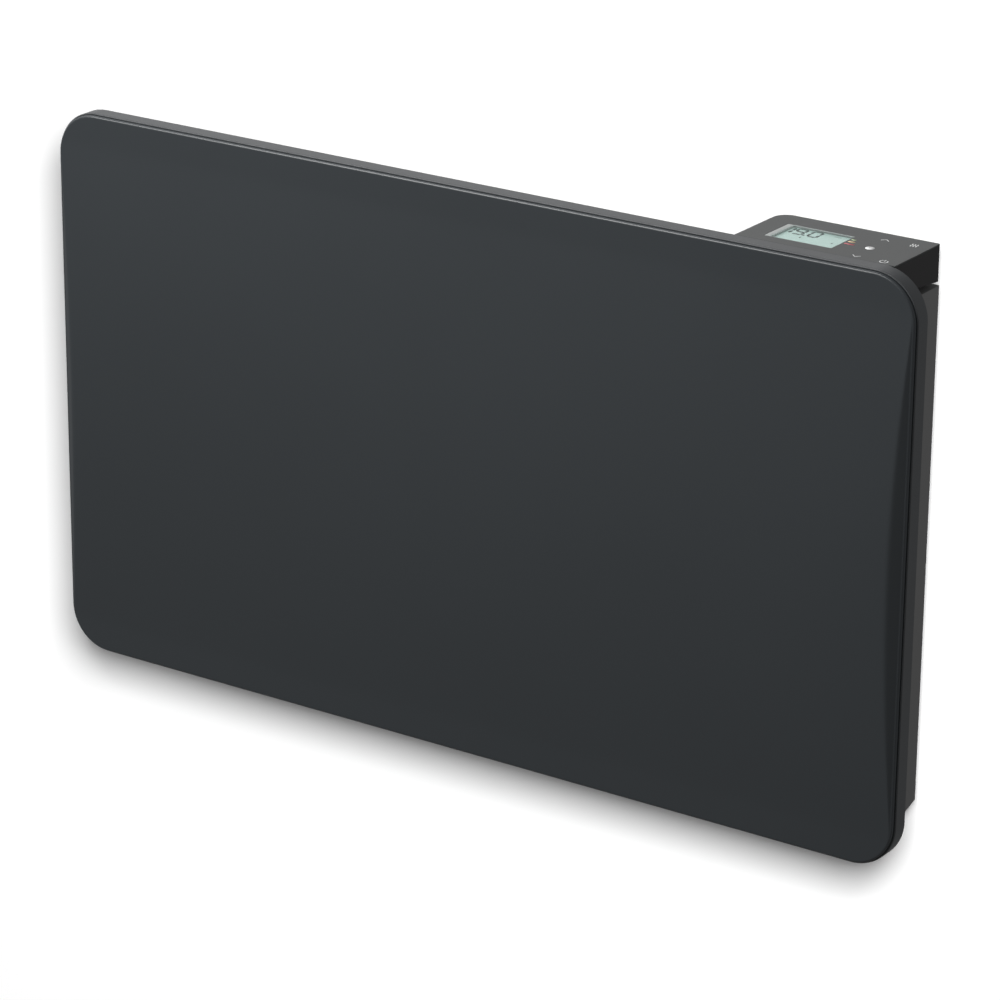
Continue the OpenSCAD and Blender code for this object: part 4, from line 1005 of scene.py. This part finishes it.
class RADIATOR_OT_stage(bpy.types.Operator):
    """Camera, soft lamps, and a pale wall and floor that only the camera sees"""

    bl_idname = "radiator.stage"
    bl_label = "Stage"

    def execute(self, context):
        settings = context.scene.radiator_stage
        add_camera(settings)
        add_world(settings)
        planes = add_backdrop(settings)
        lamps = [
            add_lamp("KeyLamp", (-2.1, -2.4, 2.4), settings.key, (1.5, 1.5)),
            add_lamp("TopLamp", (-0.25, -0.6, 0.95), settings.top, (1.2, 0.3)),
            add_lamp("SideLamp", (1.9, 0.9, 0.4), settings.side, (0.8, 0.8)),
            add_lamp("BackLamp", (-1.2, 2.4, 0.6), settings.back, (1.0, 1.0)),
        ]
        for lamp in lamps:
            link_light(lamp, planes, "EXCLUDE")
        for lamp in lamps[2:]:
            lamp.visible_glossy = False
        above = Vector(settings.eye) + Vector((settings.shift, 0, settings.lift))
        shade_lamps = (("WallShade", above), ("FloorShade", (0, -0.8, 3.2)))
        for plane, (name, eye) in zip(planes, shade_lamps):
            link_light(add_shade_lamp(name, eye, settings.shade, settings.spread), [plane], "INCLUDE")
        context.scene.view_settings.view_transform = "Standard"
        return {"FINISHED"}


def add_camera(settings):
    """The photo's camera: a level view along +Y, rolled, tilted and turned, and a lens in picture widths."""
    data = bpy.data.cameras.new("Camera")
    data.sensor_width = 36
    data.lens = settings.focal * data.sensor_width
    data.clip_start, data.clip_end = 0.1, 50
    eye = bpy.data.objects.new("Camera", data)
    turned = Matrix.Rotation(settings.turn, 4, "Z")
    tilted = Matrix.Rotation(math.pi / 2 - settings.tilt, 4, "X")
    rolled = Matrix.Rotation(-settings.roll, 4, "Z")
    eye.matrix_world = Matrix.Translation(settings.eye) @ turned @ tilted @ rolled
    bpy.context.scene.collection.objects.link(eye)
    bpy.context.scene.camera = eye


def add_world(settings):
    """White to the camera and through clear plastic. A surface mirrors white light at the upper left behind
    the wall, and a dimmer room elsewhere. All other light is soft and falls off from above to below."""
    world = bpy.data.worlds.new("Studio")
    bpy.context.scene.world = world
    w = Shades(world, "Generated")
    kinds = ("Camera", "Transmission", "Glossy")
    camera, clear, glossy = (w.add("ShaderNodeLightPath", output=f"Is {kind} Ray") for kind in kinds)
    white = camera + clear
    soft = settings.fill * (0.5 + w.step(w.towards((0, 0, 1)), -0.6, 0.9))
    upper_left = (-0.69, 0.54, 0.49)
    mirrored = settings.room + (1 - settings.room) * w.step(w.towards(upper_left), 0.75, 0.95)
    strength = white + (1 - white) * (glossy * mirrored + (1 - glossy) * soft)
    light = w.add("ShaderNodeBackground", {}, {"Color": (1, 1, 1, 1), "Strength": strength})
    w.add_output(light, "ShaderNodeOutputWorld")


def add_backdrop(settings):
    """Wall just behind the brackets and a floor below, open from behind. Only the camera sees them, and they
    throw no light or shadow on the object."""
    m = Shades("Backdrop")
    white = m.add("ShaderNodeBsdfDiffuse", {}, {"Color": (1, 1, 1, 1)})
    gone = m.add("ShaderNodeBsdfTransparent")
    behind = m.add("ShaderNodeNewGeometry", output="Backfacing")
    m.add_output(m.add("ShaderNodeMixShader", {}, {0: behind, 1: white, 2: gone}))
    half, high, deep, wall_y = 1.6, 1.1, 1.8, 0.0006
    corners = np.array([[-1, 0], [1, 0], [1, 1], [-1, 1]])
    surfaces = {
        "Wall": place(corners * (half, high - settings.floor_z) + (0, settings.floor_z), wall_y, (0, 2)),
        "Floor": place(corners * (half, deep) + (0, wall_y - deep), settings.floor_z, (0, 1)),
    }
    planes = []
    for name, points in surfaces.items():
        mesh = bpy.data.meshes.new(name)
        mesh.from_pydata(points, [], [range(4)])
        mesh.materials.append(m.material)
        plane = bpy.data.objects.new(name, mesh)
        for kind in ("diffuse", "glossy", "transmission", "shadow"):
            setattr(plane, "visible_" + kind, False)
        bpy.context.scene.collection.objects.link(plane)
        planes.append(plane)
    return planes


def add_lamp(name, eye, power, size):
    """A soft rectangular lamp that faces the middle of the panel."""
    data = bpy.data.lights.new(name, "AREA")
    data.energy, data.shape = power, "RECTANGLE"
    data.size, data.size_y = size
    lamp = bpy.data.objects.new(name, data)
    lamp.location = eye
    lamp.rotation_euler = (-Vector(eye)).to_track_quat("-Z", "Y").to_euler()
    bpy.context.scene.collection.objects.link(lamp)
    return lamp


def add_shade_lamp(name, eye, strength, size):
    """The wall's or the floor's own lamp. It shines as strongly far off as near and throws a soft shadow.
    The wall's is just above the camera, so that the shadow shows all round the object."""
    lamp = add_lamp(name, eye, 1.0, (size, size))
    m = Shades(lamp.data)
    even = m.add("ShaderNodeLightFalloff", {}, {"Strength": strength}, output="Constant")
    glow = m.add("ShaderNodeEmission", {}, {"Strength": even})
    m.add_output(glow, "ShaderNodeOutputLight")
    return lamp


def link_light(lamp, planes, state):
    """Lets a lamp light only the planes, or everything else."""
    group = bpy.data.collections.new(lamp.name + "Planes")
    for plane in planes:
        group.objects.link(plane)
    lamp.light_linking.receiver_collection = group
    for row in group.collection_objects:
        row.light_linking.link_state = state


class RADIATOR_PT_sidebar(bpy.types.Panel):
    """Lists the steps and their settings"""

    bl_idname = "RADIATOR_PT_sidebar"
    bl_label = "Radiator"
    bl_space_type = "VIEW_3D"
    bl_region_type = "UI"
    bl_category = "Radiator"

    def draw(self, context):
        for group in GROUPS:
            settings = getattr(context.scene, group)
            column = self.layout.column(align=True)
            for name in settings.bl_rna.properties.keys():
                if name not in ("rna_type", "name"):
                    column.prop(settings, name)
        for step in STEPS:
            self.layout.operator(step.bl_idname)


GROUPS = {
    "radiator_panel": PanelSettings,
    "radiator_box": BoxSettings,
    "radiator_casing": CasingSettings,
    "radiator_stage": StageSettings,
}
STEPS = (
    RADIATOR_OT_front_plate, RADIATOR_OT_front_frame, RADIATOR_OT_touch_panel, RADIATOR_OT_display,
    RADIATOR_OT_prints, RADIATOR_OT_casing, RADIATOR_OT_screws, RADIATOR_OT_inner_parts, RADIATOR_OT_stage,
)


def register():
    """Makes the classes known and hangs each group of settings on the scene."""
    for shown in (*GROUPS.values(), *STEPS, RADIATOR_PT_sidebar):
        bpy.utils.register_class(shown)
    for name, group in GROUPS.items():
        setattr(bpy.types.Scene, name, PointerProperty(type=group))


def unregister():
    """Takes away what register made, in reverse."""
    for name in GROUPS:
        delattr(bpy.types.Scene, name)
    for shown in reversed((*GROUPS.values(), *STEPS, RADIATOR_PT_sidebar)):
        bpy.utils.unregister_class(shown)


def main():
    """Runs every step in order."""
    register()
    for step in STEPS:
        area, name = step.bl_idname.split(".")
        getattr(getattr(bpy.ops, area), name)()


if __name__ == "__main__":
    main()
